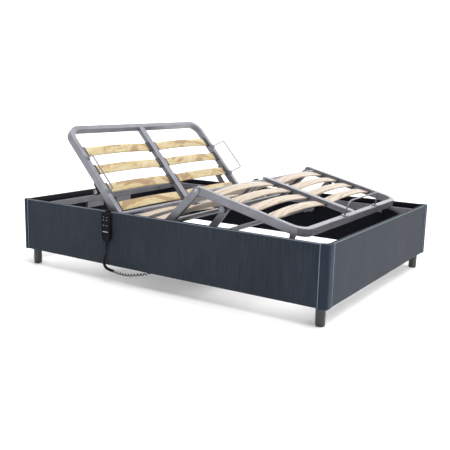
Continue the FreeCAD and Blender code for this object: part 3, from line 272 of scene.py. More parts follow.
NYLON = moulded("white_nylon", (0.62, 0.62, 0.58), 0.4)
KEY_PLASTIC = moulded("key_plastic", (0.016, 0.017, 0.021), 0.55, shine=0.2)
LEGEND = moulded("legend_white", (0.36, 0.37, 0.39), 0.5)
CORD_PLASTIC = moulded("cord_plastic", (0.003, 0.003, 0.004), 0.45, 700.0, 0.00005, shine=0.1)
TYRE = moulded("roller_tyre", (0.010, 0.010, 0.011), 0.55)
ZINC = zinc()
DARK_STEEL = moulded("dark_screw", (0.06, 0.05, 0.07), 0.4)
CIRCUIT = circuit_green()


# ---------------------------------------------------------------- camera and cord

CAMERA_AT = (2.041, -3.218, 0.988)
CAMERA_TURN = 32.72
CAMERA_DOWN = 11.15
CAMERA_ROLL = 1.41
LENS = 53.67
WIRE = 0.0050
COIL_WIDE = 0.0160


def add_camera():
    """A low three-quarter view from the near foot side."""
    data = bpy.data.cameras.new("camera")
    data.lens = LENS
    data.sensor_width = 36.0
    camera = bpy.data.objects.new("camera", data)
    bpy.context.scene.collection.objects.link(camera)
    turn = Matrix.Rotation(math.radians(CAMERA_TURN), 4, "Z")
    turn = turn @ Matrix.Rotation(math.radians(90 - CAMERA_DOWN), 4, "X")
    turn = turn @ Matrix.Rotation(math.radians(CAMERA_ROLL), 4, "Z")
    camera.matrix_world = Matrix.Translation(CAMERA_AT) @ turn
    bpy.context.scene.camera = camera


def route_points(route):
    """The smooth line through a cord's route, read from its NURBS spline."""
    curve = bpy.data.curves.new("route", "CURVE")
    curve.dimensions = "3D"
    curve.resolution_u = 24
    spline = curve.splines.new("NURBS")
    spline.points.add(len(route) - 1)
    for point, place in zip(spline.points, route):
        point.co = (*place, 1.0)
    spline.order_u = 3
    spline.use_endpoint_u = True
    holder = bpy.data.objects.new("route", curve)
    mesh = bpy.data.meshes.new_from_object(holder)
    line = [vertex.co.copy() for vertex in mesh.vertices]
    bpy.data.objects.remove(holder)
    bpy.data.meshes.remove(mesh)
    return line


def coil_at(travelled, total):
    """The coil's pitch and its share of full width, at a distance along the cord."""
    def rise(start, length):
        return min(1.0, max(0.0, (travelled - start) / length))
    pitch = 0.0145 - 0.0087 * rise(0.060, 0.012) + 0.0122 * rise(0.148, 0.016)
    return pitch, rise(0.016, 0.008) * (1 - rise(total - 0.034, 0.024))


def curly_line(line, width, wire, steps_per_turn=12):
    """A helix around a line, and the length of wire in it."""
    distances = [0.0]
    for before, after in zip(line, line[1:]):
        distances.append(distances[-1] + (after - before).length)
    total = distances[-1]
    side = Vector((1, 0, 0))
    frames = []
    for index, point in enumerate(line):
        ahead = (line[min(index + 1, len(line) - 1)] - line[max(index - 1, 0)]).normalized()
        side = (side - ahead * side.dot(ahead)).normalized()
        frames.append((point, side.copy(), ahead.cross(side)))
    helix = []
    index, travelled, angle = 0, 0.0, 0.0
    while travelled <= total:
        while index < len(line) - 2 and distances[index + 1] < travelled:
            index += 1
        share = (travelled - distances[index]) / (distances[index + 1] - distances[index])
        (a, side_a, up_a), (b, side_b, up_b) = frames[index], frames[index + 1]
        pitch, open_share = coil_at(travelled, total)
        reach = (width / 2 - wire / 2) * open_share
        side_here = side_a.lerp(side_b, share)
        up_here = up_a.lerp(up_b, share)
        helix.append(a.lerp(b, share) + (side_here * math.cos(angle) + up_here * math.sin(angle)) * reach)
        travelled += pitch / steps_per_turn
        angle += 2 * math.pi / steps_per_turn
    length = sum((after - before).length for before, after in zip(helix, helix[1:]))
    return helix, length


def add_cord():
    """Curly cord: a straight neck, bunched and closed coils round the bend, then open hanging coils."""
    relief_low, relief_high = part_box("handset_strain_relief")
    control_low, control_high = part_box("control_box")
    start = (relief_low + relief_high) / 2
    start.z = relief_low.z - 0.0005
    entry = Vector((control_low.x + 0.016, (control_low.y + control_high.y) / 2, control_low.z))
    bends = [(-0.318, -0.701, 0.138), (-0.321, -0.702, 0.100), (-0.310, -0.703, 0.081),
             (-0.285, -0.703, 0.072), (-0.245, -0.703, 0.068), (-0.205, -0.703, 0.063),
             (-0.160, -0.702, 0.063), (-0.120, -0.700, 0.070), (-0.084, -0.686, 0.075),
             (-0.050, -0.660, 0.080)]
    route = [start, start - Vector((0, 0, 0.014)), *bends, entry - Vector((0, 0, 0.035)), entry]
    helix, length = curly_line(route_points(route), COIL_WIDE, WIRE)
    let_go()
    curve = bpy.data.curves.new("curly_cord", "CURVE")
    curve.dimensions = "3D"
    curve.bevel_depth = WIRE / 2
    curve.bevel_resolution = 1
    curve.use_fill_caps = True
    spline = curve.splines.new("POLY")
    spline.points.add(len(helix) - 1)
    for point, place in zip(spline.points, helix):
        point.co = (*place, 1.0)
    bpy.context.scene.collection.objects.link(bpy.data.objects.new("curly_cord", curve))
    only(bpy.data.objects["curly_cord"])
    bpy.ops.object.convert(target="MESH")
    cord = named("curly_cord")
    smooth(cord, 60)
    cord.data.materials.append(CORD_PLASTIC)
    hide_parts("handset_cord")
    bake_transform(cord)


# ---------------------------------------------------------------- modelling steps

def let_go():
    """Object mode with nothing selected."""
    if bpy.context.mode != "OBJECT":
        bpy.ops.object.mode_set(mode="OBJECT")
    bpy.ops.object.select_all(action="DESELECT")


def named(name):
    piece = bpy.context.object
    piece.name = name
    piece.data.name = name
    return piece


def only(piece):
    let_go()
    piece.select_set(True)
    bpy.context.view_layer.objects.active = piece


def pick(piece, kind, test):
    """Select the faces or edges of a piece that pass a test, and open it for editing."""
    only(piece)
    bpy.ops.object.mode_set(mode="EDIT")
    bpy.ops.mesh.select_mode(type=kind)
    bpy.ops.mesh.select_all(action="DESELECT")
    bpy.ops.object.mode_set(mode="OBJECT")
    mesh = piece.data
    if kind == "FACE":
        for face in mesh.polygons:
            face.select = test(face)
    else:
        for edge in mesh.edges:
            a, b = (mesh.vertices[index].co for index in edge.vertices)
            edge.select = test(a, b)
    bpy.ops.object.mode_set(mode="EDIT")


def modifier(piece, kind, **settings):
    only(piece)
    step = piece.modifiers.new(kind.lower(), kind)
    for key, value in settings.items():
        setattr(step, key, value)
    bpy.ops.object.modifier_apply(modifier=step.name)


def tidy_mesh(piece):
    only(piece)
    bpy.ops.object.mode_set(mode="EDIT")
    bpy.ops.mesh.select_all(action="SELECT")
    bpy.ops.mesh.remove_doubles(threshold=1e-6)
    bpy.ops.mesh.dissolve_degenerate(threshold=1e-7)
    bpy.ops.mesh.normals_make_consistent(inside=False)
    bpy.ops.object.mode_set(mode="OBJECT")


def smooth(piece, angle=35):
    only(piece)
    bpy.ops.object.shade_smooth_by_angle(angle=math.radians(angle))


def block(name, low, high, radius=0.0, segments=3):
    """A cube primitive brought to two corners, with its edges rounded."""
    low, high = Vector(low), Vector(high)
    let_go()
    bpy.ops.mesh.primitive_cube_add(size=1, location=(low + high) / 2)
    piece = named(name)
    piece.scale = high - low
    bpy.ops.object.transform_apply(location=True, rotation=True, scale=True)
    if radius:
        modifier(piece, "BEVEL", width=radius, segments=segments, limit_method="ANGLE", harden_normals=False)
    return piece


def outlined(name, points, along):
    """A closed outline, drawn by moving a circle's points onto it, filled and extruded."""
    let_go()
    bpy.ops.mesh.primitive_circle_add(vertices=len(points), fill_type="NGON")
    piece = named(name)
    for vertex, point in zip(piece.data.vertices, points):
        vertex.co = point
    bpy.ops.object.mode_set(mode="EDIT")
    bpy.ops.mesh.select_all(action="SELECT")
    bpy.ops.mesh.extrude_region_move(TRANSFORM_OT_translate={"value": along})
    bpy.ops.object.mode_set(mode="OBJECT")
    tidy_mesh(piece)
    return piece


def turned(name, profile, at=(0, 0, 0), axis="Z", steps=40):
    """A profile of radius and height pairs, spun about an axis."""
    let_go()
    bpy.ops.mesh.primitive_circle_add(vertices=len(profile), fill_type="NOTHING")
    piece = named(name)
    for vertex, (radius, height) in zip(piece.data.vertices, profile):
        vertex.co = (radius, 0, height)
    bpy.ops.object.mode_set(mode="EDIT")
    bpy.ops.mesh.select_all(action="SELECT")
    bpy.ops.mesh.spin(steps=steps, angle=2 * math.pi, center=(0, 0, 0), axis=(0, 0, 1))
    bpy.ops.object.mode_set(mode="OBJECT")
    tidy_mesh(piece)
    lay = {"Z": Matrix.Identity(4), "Y": Matrix.Rotation(math.radians(-90), 4, "X"),
           "X": Matrix.Rotation(math.radians(90), 4, "Y")}[axis]
    piece.data.transform(Matrix.Translation(at) @ lay)
    smooth(piece)
    return piece


def copied(piece, name, matrix):
    """A copy with its own mesh, moved by a matrix; a mirrored one is turned right side out."""
    twin = piece.copy()
    twin.data = piece.data.copy()
    twin.name = name
    twin.data.name = name
    bpy.context.scene.collection.objects.link(twin)
    twin.data.transform(matrix)
    if matrix.determinant() < 0:
        twin.data.flip_normals()
    return twin


def joined(pieces, name):
    let_go()
    for piece in pieces:
        piece.select_set(True)
    bpy.context.view_layer.objects.active = pieces[0]
    bpy.ops.object.join()
    return named(name)


def placed(piece, matrix):
    piece.data.transform(matrix)
    return piece


def fit(piece, body, slot, material, *nodes):
    """Give a finished piece its material and body, and hide the CAD nodes it stands for; the slot is not used.
    """
    if material:
        piece.data.materials.clear()
        piece.data.materials.append(material)
    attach(piece, body)
    if nodes:
        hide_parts(*nodes)
    return piece


MIRROR_Y = Matrix.Scale(-1, 4, (0, 1, 0))
MIRROR_X = Matrix.Scale(-1, 4, (1, 0, 0))


# ---------------------------------------------------------------- where the sections lie

def section(joint, angle):
    pivot = Vector(JOINTS[joint]["pos_m"])
    return Matrix.Translation(pivot) @ Matrix.Rotation(math.radians(angle), 4, "Y")


BACK_ANGLE, THIGH_ANGLE, LEG_SLOPE = 48.5, 45, 13.8
PIVOT_Z = JOINTS["back_tilt"]["pos_m"][2]
# Places of the slats from the pivot, half the centre bar and the slats' bow, all in mm.
SECTIONS = {
    "back": dict(matrix=section("back_tilt", BACK_ANGLE), toward=-1,
                 places=(65, 186, 307, 428), middle=21.5, bow=12),
    "seat": dict(matrix=Matrix.Translation((JOINTS["back_tilt"]["pos_m"][0], 0, PIVOT_Z)), toward=1,
                 places=(86, 196), middle=22.5, bow=18),
    "thigh": dict(matrix=section("thigh_tilt", -THIGH_ANGLE), toward=1, places=(78, 172), middle=21.5, bow=18),
    "leg": dict(matrix=section("leg_fold", LEG_SLOPE), toward=1, places=(84, 188, 292, 396), middle=20.5,
                bow=18),
}
BODY_OF = {"back": "back", "seat": "base", "thigh": "thigh", "leg": "leg"}
RAIL_IN = 585.0             # inner face of the sections' side rails, in mm
SLAT_END_TOP = 5.0          # a slat's ends above its section's middle plane
END_PLAY = 3                # from a slat's end to the face behind it


# ---------------------------------------------------------------- slats and holders

def bent_slat(name, length, bow):
    """Rounded veneer section spun along a shallow arc; it starts at y = 0 and its top ends are at z = 0."""
    wide, thick, corner = 55 * MM, 8 * MM, 2.2 * MM
    radius = (length ** 2 / 4 + bow ** 2) / (2 * bow)
    half = math.asin(length / 2 / radius)
    section_points = []
    for cx, cr, start in ((1, 0, 0), (-1, 0, 90), (-1, -1, 180), (1, -1, 270)):
        for step in range(4):
            angle = math.radians(start + 30 * step)
            px = cx * (wide / 2 - corner) + corner * math.cos(angle)
            pr = (-corner if cr == 0 else corner - thick) + corner * math.sin(angle)
            section_points.append((px, pr))
    centre = Vector((0, length / 2, -radius * math.cos(half)))
    let_go()
    bpy.ops.mesh.primitive_circle_add(vertices=len(section_points), fill_type="NOTHING")
    piece = named(name)
    for vertex, (px, pr) in zip(piece.data.vertices, section_points):
        reach = radius + pr
        vertex.co = centre + Vector((px, -reach * math.sin(half), reach * math.cos(half)))
    bpy.ops.object.mode_set(mode="EDIT")
    bpy.ops.mesh.select_all(action="SELECT")
    bpy.ops.mesh.spin(steps=20, angle=2 * half, center=centre, axis=(1, 0, 0))
    bpy.ops.mesh.select_all(action="SELECT")
    bpy.ops.mesh.fill_holes(sides=0)
    bpy.ops.object.mode_set(mode="OBJECT")
    tidy_mesh(piece)
    smooth(piece, 40)
    return piece


def slat_holder():
    """Moulded cap with a pocket for the slat; its back is at y = 0 and its mouth looks along +Y."""
    piece = block("slat_holder", (-31.5 * MM, 0, -6 * MM), (31.5 * MM, 24 * MM, 12 * MM), 2.4 * MM, 2)
    pick(piece, "FACE", lambda face: face.normal.y > 0.99 and face.area > 6e-4)
    bpy.ops.mesh.inset(thickness=1.2 * MM)
    bpy.ops.mesh.extrude_region_move(TRANSFORM_OT_translate={"value": (0, -19 * MM, 0)})
    bpy.ops.object.mode_set(mode="OBJECT")
    parts = [piece]
    for x in (-18, 0, 18):
        low, high = Vector((x - 1, 1, 11.5)) * MM, Vector((x + 1, 20, 13.2)) * MM
        parts.append(block("rib", low, high, 0.5 * MM, 1))
    piece = joined(parts, "slat_holder")
    smooth(piece, 40)
    return piece


def add_slats():
    holder = slat_holder()
    for name, data in SECTIONS.items():
        middle = data["middle"]
        start, end = middle + END_PLAY, RAIL_IN - END_PLAY
        slat = bent_slat("slat", (end - start) * MM, data["bow"] * MM)
        wood = BIRCH_YELLOW if name == "back" else BIRCH_PALE
        caps = []
        for number, place in enumerate(data["places"], 1):
            x = data["toward"] * place * MM
            for side, mirror in (("far", Matrix.Identity(4)), ("near", MIRROR_Y)):
                seat = data["matrix"] @ mirror @ Matrix.Translation((x, start * MM, SLAT_END_TOP * MM))
                piece = copied(slat, f"{name}_slat_{number}_{side}", seat)
                fit(piece, BODY_OF[name], "slat_wood", wood, f"{name}_slats")
                inner = data["matrix"] @ mirror @ Matrix.Translation((x, middle * MM, 0))
                outer = data["matrix"] @ mirror @ Matrix.Translation((x, RAIL_IN * MM, 0)) @ MIRROR_Y
                caps += [copied(holder, "cap", inner), copied(holder, "cap", outer)]
        fit(joined(caps, f"{name}_slat_caps"), BODY_OF[name], "black_plastic", CAP_PLASTIC,
            f"{name}_slat_holders")
        bpy.data.objects.remove(slat)
    bpy.data.objects.remove(holder)


def add_slat_screws():
    """Two dark screws side by side in the middle of each uppermost back slat."""
    data = SECTIONS["back"]
    middle = (data["middle"] + RAIL_IN) / 2 * MM
    height = (SLAT_END_TOP + data["bow"] - 0.6) * MM
    screws = []
    for side in (1, -1):
        for offset in (-11, 11):
            at = (-data["places"][-1] * MM, side * middle + offset * MM, height)
            screws.append(placed(cross_head(at, "Z", 1, 4.5), data["matrix"]))
    fit(joined(screws, "back_slat_screws"), "back", "bright_steel", DARK_STEEL)


# ---------------------------------------------------------------- upholstered box

def ruffled(piece, outward, depth):
    """Push a cover's outer face in and out a little, as cloth over foam lies."""
    limit = max(vertex.co.dot(outward) for vertex in piece.data.vertices) - 0.0002
    for vertex in piece.data.vertices:
        if vertex.co.dot(outward) > limit:
            wave = noise.noise(vertex.co * 7.0) + 0.5 * noise.noise(vertex.co * 19.0)
            vertex.co += outward * depth * (wave - 0.3)


def cover(name, start, end, outer, inner, low, high, hem):
    """Side cover drawn along X with its skin towards -Y: rounded rim, folded edges and hem, and a painted
    highlight in lighter cloth along the rim's outer top edge.
    """
    skin_in = outer + 3 * MM
    points = [(outer + 4 * MM, low), (outer + 1.2 * MM, low + 1.2 * MM), (outer, low + 4.5 * MM)]
    rows = 12
    for row in range(1, rows):
        points.append((outer, low + 4.5 * MM + (high - low - 10.5 * MM) * row / rows))
    points += [(outer, high - 6 * MM), (outer + 0.9 * MM, high - 3 * MM), (outer + 2.9 * MM, high - 0.9 * MM),
               (outer + 6 * MM, high), (inner - 3 * MM, high), (inner + 0.8 * MM, high - 0.9 * MM),
               (inner + 1.5 * MM, high - 4 * MM), (inner + 1.5 * MM, hem), (inner, hem),
               (inner, high - 2 * MM),
               (skin_in, high - 2 * MM), (skin_in, low + 2 * MM), (inner, low + 2 * MM), (inner, low)]
    piece = outlined(name, [(start, y, z) for y, z in points], (end - start, 0, 0))
    pick(piece, "EDGE", lambda a, b: abs(a.x - b.x) > 0.5)
    bpy.ops.mesh.subdivide(number_cuts=int(abs(end - start) / 0.03))
    bpy.ops.object.mode_set(mode="OBJECT")
    ruffled(piece, Vector((0, -1, 0)), 0.9 * MM)
    for material in (CLOTH, HEM, PAINTED_RIM_HIGHLIGHT):
        piece.data.materials.append(material)
    for face in piece.data.polygons:
        inside = face.center.y > outer + 5 * MM and face.center.z < high + 0.5 * MM
        # The rolled faces along the rim's outer top edge take the lighter cloth as a painted highlight.
        rolled = face.center.y < outer + 5 * MM and face.center.z > high - 4.5 * MM
        face.material_index = 1 if inside else 2 if rolled else 0
    smooth(piece, 50)
    return piece


def corner_pad(name, wide, low, high, corner_x, corner_y, wall):
    """Padded corner drawn at the near foot: a rolled outer corner that wraps both boards."""
    roll = 14 * MM
    inner_x, inner_y = corner_x - wall, -corner_y + wall
    edge = 2.5 * MM
    points = [(corner_x - wide, -corner_y + 4 * MM), (corner_x - wide + edge, -corner_y + 1.2 * MM),
              (corner_x - wide + 3 * edge, -corner_y)]
    for step in range(7):
        angle = math.radians(-90 + 15 * step)
        points.append((corner_x - roll + roll * math.cos(angle), -corner_y + roll + roll * math.sin(angle)))
    points += [(corner_x, -corner_y + wide - 3 * edge), (corner_x - 1.2 * MM, -corner_y + wide - edge),
               (corner_x - 4 * MM, -corner_y + wide), (inner_x, -corner_y + wide), (inner_x, inner_y),
               (corner_x - wide, inner_y)]
    piece = outlined(name, [(x, y, low) for x, y in points], (0, 0, high - low))

    def outside(point):
        return point.x > inner_x + 1e-5 or point.y < inner_y - 1e-5

    pick(piece, "EDGE", lambda a, b: abs(a.z - b.z) < 1e-6 and (outside(a) or outside(b)))
    bpy.ops.mesh.bevel(offset=4 * MM, segments=3, affect="EDGES", clamp_overlap=True)
    bpy.ops.object.mode_set(mode="OBJECT")
    tidy_mesh(piece)
    smooth(piece, 50)
    return piece


def piping(name, x, y, low, high, radius):
    """Sewn cord up a seam, tucked in at both ends."""
    half = [(0, low), (radius * 0.6, low + 0.4 * radius), (radius, low + radius), (radius, high - radius),
            (radius * 0.6, high - 0.4 * radius), (0, high)]
    return turned(name, half, (x, y, 0), steps=12)


def add_box():
    pads_low, pads_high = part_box("corner_pads")
    half_x, half_y = pads_high.x, pads_high.y
    near_low, near_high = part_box("near_side_cover")
    low, high = near_low.z, near_high.z
    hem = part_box("side_rails")[1].z + 10 * MM
    side = cover("near_side_upholstery", near_low.x, near_high.x, near_low.y, near_high.y - 1.5 * MM,
                 low, high, hem)
    other = copied(side, "far_side_upholstery", MIRROR_Y)
    fit(side, "base", "upholstery", None, "near_side_cover")
    fit(other, "base", "upholstery", None, "far_side_cover")
    quarter = Matrix.Rotation(math.radians(90), 4, "Z")
    for name, turn in (("foot", quarter), ("head", Matrix.Rotation(math.radians(-90), 4, "Z"))):
        node = f"{name}_end_cover"
        end_low, end_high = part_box(node)
        reach = max(abs(end_low.x), abs(end_high.x))
        inner = -min(abs(end_low.x), abs(end_high.x)) - 1.5 * MM
        piece = cover(f"{name}_end_upholstery", end_low.y, end_high.y, -reach, inner, low, high, hem)
        fit(placed(piece, turn), "base", "upholstery", None, node)
    wall = half_x - abs(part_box("end_boards")[1].x) + 19.5 * MM
    for name, wide, mirror in (("foot", 45 * MM, Matrix.Identity(4)), ("head", 30 * MM, MIRROR_X)):
        pad = corner_pad("pad", wide, pads_low.z, pads_high.z, half_x, half_y, wall)
        for side_name, flip in (("near", Matrix.Identity(4)), ("far", MIRROR_Y)):
            piece = copied(pad, f"{name}_{side_name}_corner_pad", mirror @ flip)
            fit(piece, "base", "upholstery", PAD_CLOTH, "corner_pads")
            seam = wide + 1.5 * MM
            seams = [piping("seam", half_x - 0.6 * MM, seam - half_y, low + 2 * MM, high, 2.6 * MM),
                     piping("seam", half_x - seam, 1.6 * MM - half_y, low + 2 * MM, high, 2.0 * MM)]
            cord = copied(joined(seams, "seams"), f"{name}_{side_name}_piping", mirror @ flip)
            bpy.data.objects.remove(bpy.data.objects["seams"])
            fit(cord, "base", "upholstery", PIPING_AND_HIGHLIGHT)
        bpy.data.objects.remove(pad)


def add_legs():
    low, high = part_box("legs")
    radius = 23.5 * MM
    centre_x, centre_y = high.x - radius, high.y - radius
    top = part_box("side_boards")[0].z
    profile = [(0, 0), (18.5 * MM, 0), (20.8 * MM, 0.8 * MM), (21.4 * MM, 3 * MM), (21.4 * MM, 7 * MM),
               (22.5 * MM, 7.6 * MM), (22.6 * MM, 9 * MM), (23.3 * MM, top - 9 * MM),
               (23.4 * MM, top - 7 * MM), (26 * MM, top - 5.5 * MM), (26.2 * MM, top - 0.6 * MM),
               (25.4 * MM, top), (5 * MM, top),
               (5 * MM, high.z), (0, high.z)]
    leg = turned("leg", profile, (centre_x, centre_y, 0), steps=56)
    for name, matrix in (("foot_far", Matrix.Identity(4)), ("foot_near", MIRROR_Y), ("head_far", MIRROR_X),
                         ("head_near", MIRROR_X @ MIRROR_Y)):
        fit(copied(leg, f"leg_{name}", matrix), "base", "leg_plastic", LEG_PLASTIC, "legs")
    bpy.data.objects.remove(leg)
    plate_low, plate_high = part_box("leg_plates")
    screws = []
    for sx in (-1, 1):
        for sy in (-1, 1):
            for dx, dy in ((12, 12), (12, 68), (68, 12), (68, 68)):
                at = (sx * (plate_high.x - dx * MM), sy * (plate_high.y - dy * MM), plate_low.z - 2.2 * MM)
                screws.append(cross_head(at, "Z", -1, 4.5))
    fit(joined(screws, "leg_plate_screws"), "base", "bright_steel", ZINC)


def cross_head(at, axis, sign, radius):
    """Domed screw head with a cross recess, its face towards sign times axis."""
    r = radius * MM
    profile = [(0, 0), (r, 0), (r, 0.25 * r), (0.82 * r, 0.5 * r), (0.5 * r, 0.62 * r), (0.22 * r, 0.62 * r),
               (0.16 * r, 0.2 * r), (0, 0.2 * r)]
    piece = turned("screw", profile, steps=16)
    lay = {"Z": Matrix.Identity(4), "Y": Matrix.Rotation(math.radians(-90), 4, "X"),
           "X": Matrix.Rotation(math.radians(90), 4, "Y")}[axis]
    flip = Matrix.Identity(4) if sign > 0 else Matrix.Rotation(math.pi, 4, "Y" if axis != "Y" else "X")
    piece.data.transform(Matrix.Translation(at) @ lay @ (flip if axis == "Z" else Matrix.Identity(4)))
    if axis != "Z" and sign < 0:
        about = Matrix.Translation(at) @ Matrix.Rotation(math.pi, 4, "Z") @ Matrix.Translation(-Vector(at))
        piece.data.transform(about)
    return piece


# ---------------------------------------------------------------- fittings

def pivot_nut(at, sign):
    """Domed nut on a washer at a hinge, its dome towards sign times Y."""
    profile = [(0, 0), (9 * MM, 0), (9 * MM, 1.2 * MM), (7.2 * MM, 1.3 * MM), (7.0 * MM, 4.5 * MM),
               (5.2 * MM, 7.6 * MM), (2.6 * MM, 9 * MM), (0, 9.4 * MM)]
    piece = turned("nut", profile, axis="Y", steps=18)
    turn = Matrix.Identity(4) if sign > 0 else Matrix.Rotation(math.pi, 4, "Z")
    piece.data.transform(Matrix.Translation(at) @ turn)
    return piece


def add_pivot_nuts():
    seat_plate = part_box("seat_hinge_plates")[1].y
    knee_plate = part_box("knee_hinge_plates")[1].y
    groups = (("seat_pivot_nuts", "base", ("back_tilt", "thigh_tilt"), seat_plate),
              ("knee_pivot_nuts", "thigh", ("leg_fold",), knee_plate))
    for name, body, joints, y in groups:
        nuts = []
        for joint in joints:
            x, _, z = JOINTS[joint]["pos_m"]
            nuts += [pivot_nut((x, y, z), 1), pivot_nut((x, -y, z), -1)]
        fit(joined(nuts, name), body, "bright_steel", ZINC)


def add_rollers():
    """Black tyre on a pale hub, for each pair of rollers."""
    for node, body, width, share in (("back_lift_rollers", "back_rollers", 23, 0.55),
                                     ("leg_lift_rollers", "leg_rollers", 23, 0.86),
                                     ("foot_rollers", "foot_rollers", 12, 0.6)):
        low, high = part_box(node)
        radius = (high.z - low.z) / 2
        centre = (low + high) / 2
        w = width * MM
        inner = share * radius
        tyre = [(inner, 0), (radius - 2 * MM, 0), (radius - 0.6 * MM, 0.6 * MM), (radius, 2 * MM),
                (radius, w - 2 * MM), (radius - 0.6 * MM, w - 0.6 * MM), (radius - 2 * MM, w), (inner, w)]
        bore = 5.05 * MM
        hub = [(bore, 1 * MM), (bore + 2.5 * MM, 0.3 * MM), (bore + 3 * MM, 2 * MM),
               (inner - 1.5 * MM, 2.2 * MM), (inner, 0.8 * MM), (inner, w - 0.8 * MM),
               (inner - 1.5 * MM, w - 2.2 * MM), (bore + 3 * MM, w - 2 * MM),
               (bore + 2.5 * MM, w - 0.3 * MM), (bore, w - 1 * MM)]
        hub_finish = PAINT if share > 0.8 else NYLON
        for part, profile, material, slot in (("tyres", tyre, TYRE, "black_plastic"),
                                              ("hubs", hub, hub_finish, "nylon")):
            far = turned(part, profile, (centre.x, high.y - w, centre.z), "Y", 36)
            near = copied(far, part + "_near", MIRROR_Y)
            fit(joined([far, near], f"{node}_{part}"), body, slot, material, node)


def add_drive():
    """Two-part moulded housing with ribs and screws."""
    low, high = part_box("drive_housing")
    shell = block("drive_housing_shell", low, high, 7 * MM, 4)
    parts = [shell]
    span_x = high.x - low.x
    for index in range(1, 12):
        x = low.x + span_x * index / 12
        parts.append(block("rib", (x - 2 * MM, low.y - 2 * MM, low.z + 12 * MM),
                           (x + 2 * MM, high.y + 2 * MM, high.z - 10 * MM), 1 * MM, 1))
    shell = joined(parts, "drive_housing_shell")
    smooth(shell)
    fit(shell, "base", "black_plastic", GREY_PLASTIC, "drive_housing")
    low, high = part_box("drive_cover")
    lid = block("drive_cover_lid", low, high, 5 * MM, 3)
    pick(lid, "FACE", lambda face: face.normal.z > 0.99 and face.area > 0.02)
    bpy.ops.mesh.inset(thickness=9 * MM)
    bpy.ops.mesh.extrude_region_move(TRANSFORM_OT_translate={"value": (0, 0, -3 * MM)})
    bpy.ops.object.mode_set(mode="OBJECT")
    smooth(lid)
    fit(lid, "base", "black_plastic", BLACK_PLASTIC, "drive_cover")
    screws = []
    for index in range(5):
        x = low.x + 12 * MM + (high.x - low.x - 24 * MM) * index / 4
        for y in (low.y + 4.5 * MM, high.y - 4.5 * MM):
            screws.append(cross_head((x, y, high.z - 0.4 * MM), "Z", 1, 3.6))
    fit(joined(screws, "drive_cover_screws"), "base", "bright_steel", ZINC)


def add_control_box():
    low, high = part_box("control_box")
    box = block("control_box_case", low, high, 4 * MM, 3)
    pick(box, "FACE", lambda face: face.normal.y > 0.99 and face.area > 0.004)
    bpy.ops.mesh.inset(thickness=6 * MM)
    bpy.ops.mesh.extrude_region_move(TRANSFORM_OT_translate={"value": (0, -1.5 * MM, 0)})
    bpy.ops.object.mode_set(mode="OBJECT")
    smooth(box)
    fit(box, "base", "black_plastic", BLACK_PLASTIC, "control_box")
    entry = (low.x + 16 * MM, (low.y + high.y) / 2, low.z)
    profile = [(3 * MM, -9 * MM), (6 * MM, -9 * MM), (8.5 * MM, -5 * MM), (9.5 * MM, -4.5 * MM),
               (9.5 * MM, 1 * MM), (3 * MM, 1 * MM)]
    gland = turned("cord_gland", profile, entry, steps=24)
    fit(gland, "base", "black_plastic", BLACK_PLASTIC)


def handset_outline(half, neck, top, low, shoulder, centre, y):
    corner = 10 * MM
    points = []
    for side in (1, -1):
        arc = [math.radians(angle) for angle in (range(0, 91, 18) if side == 1 else range(90, 181, 18))]
        for angle in arc:
            cx = centre + side * (half - corner)
            points.append((cx + corner * math.cos(angle), y, top - corner + corner * math.sin(angle)))
    for side, ends in ((-1, ((half, shoulder), (neck + 2 * MM, low + 3 * MM), (neck - 2 * MM, low))),
                       (1, ((neck - 2 * MM, low), (neck + 2 * MM, low + 3 * MM), (half, shoulder)))):
        points += [(centre + side * out, y, z) for out, z in ends]
    return points


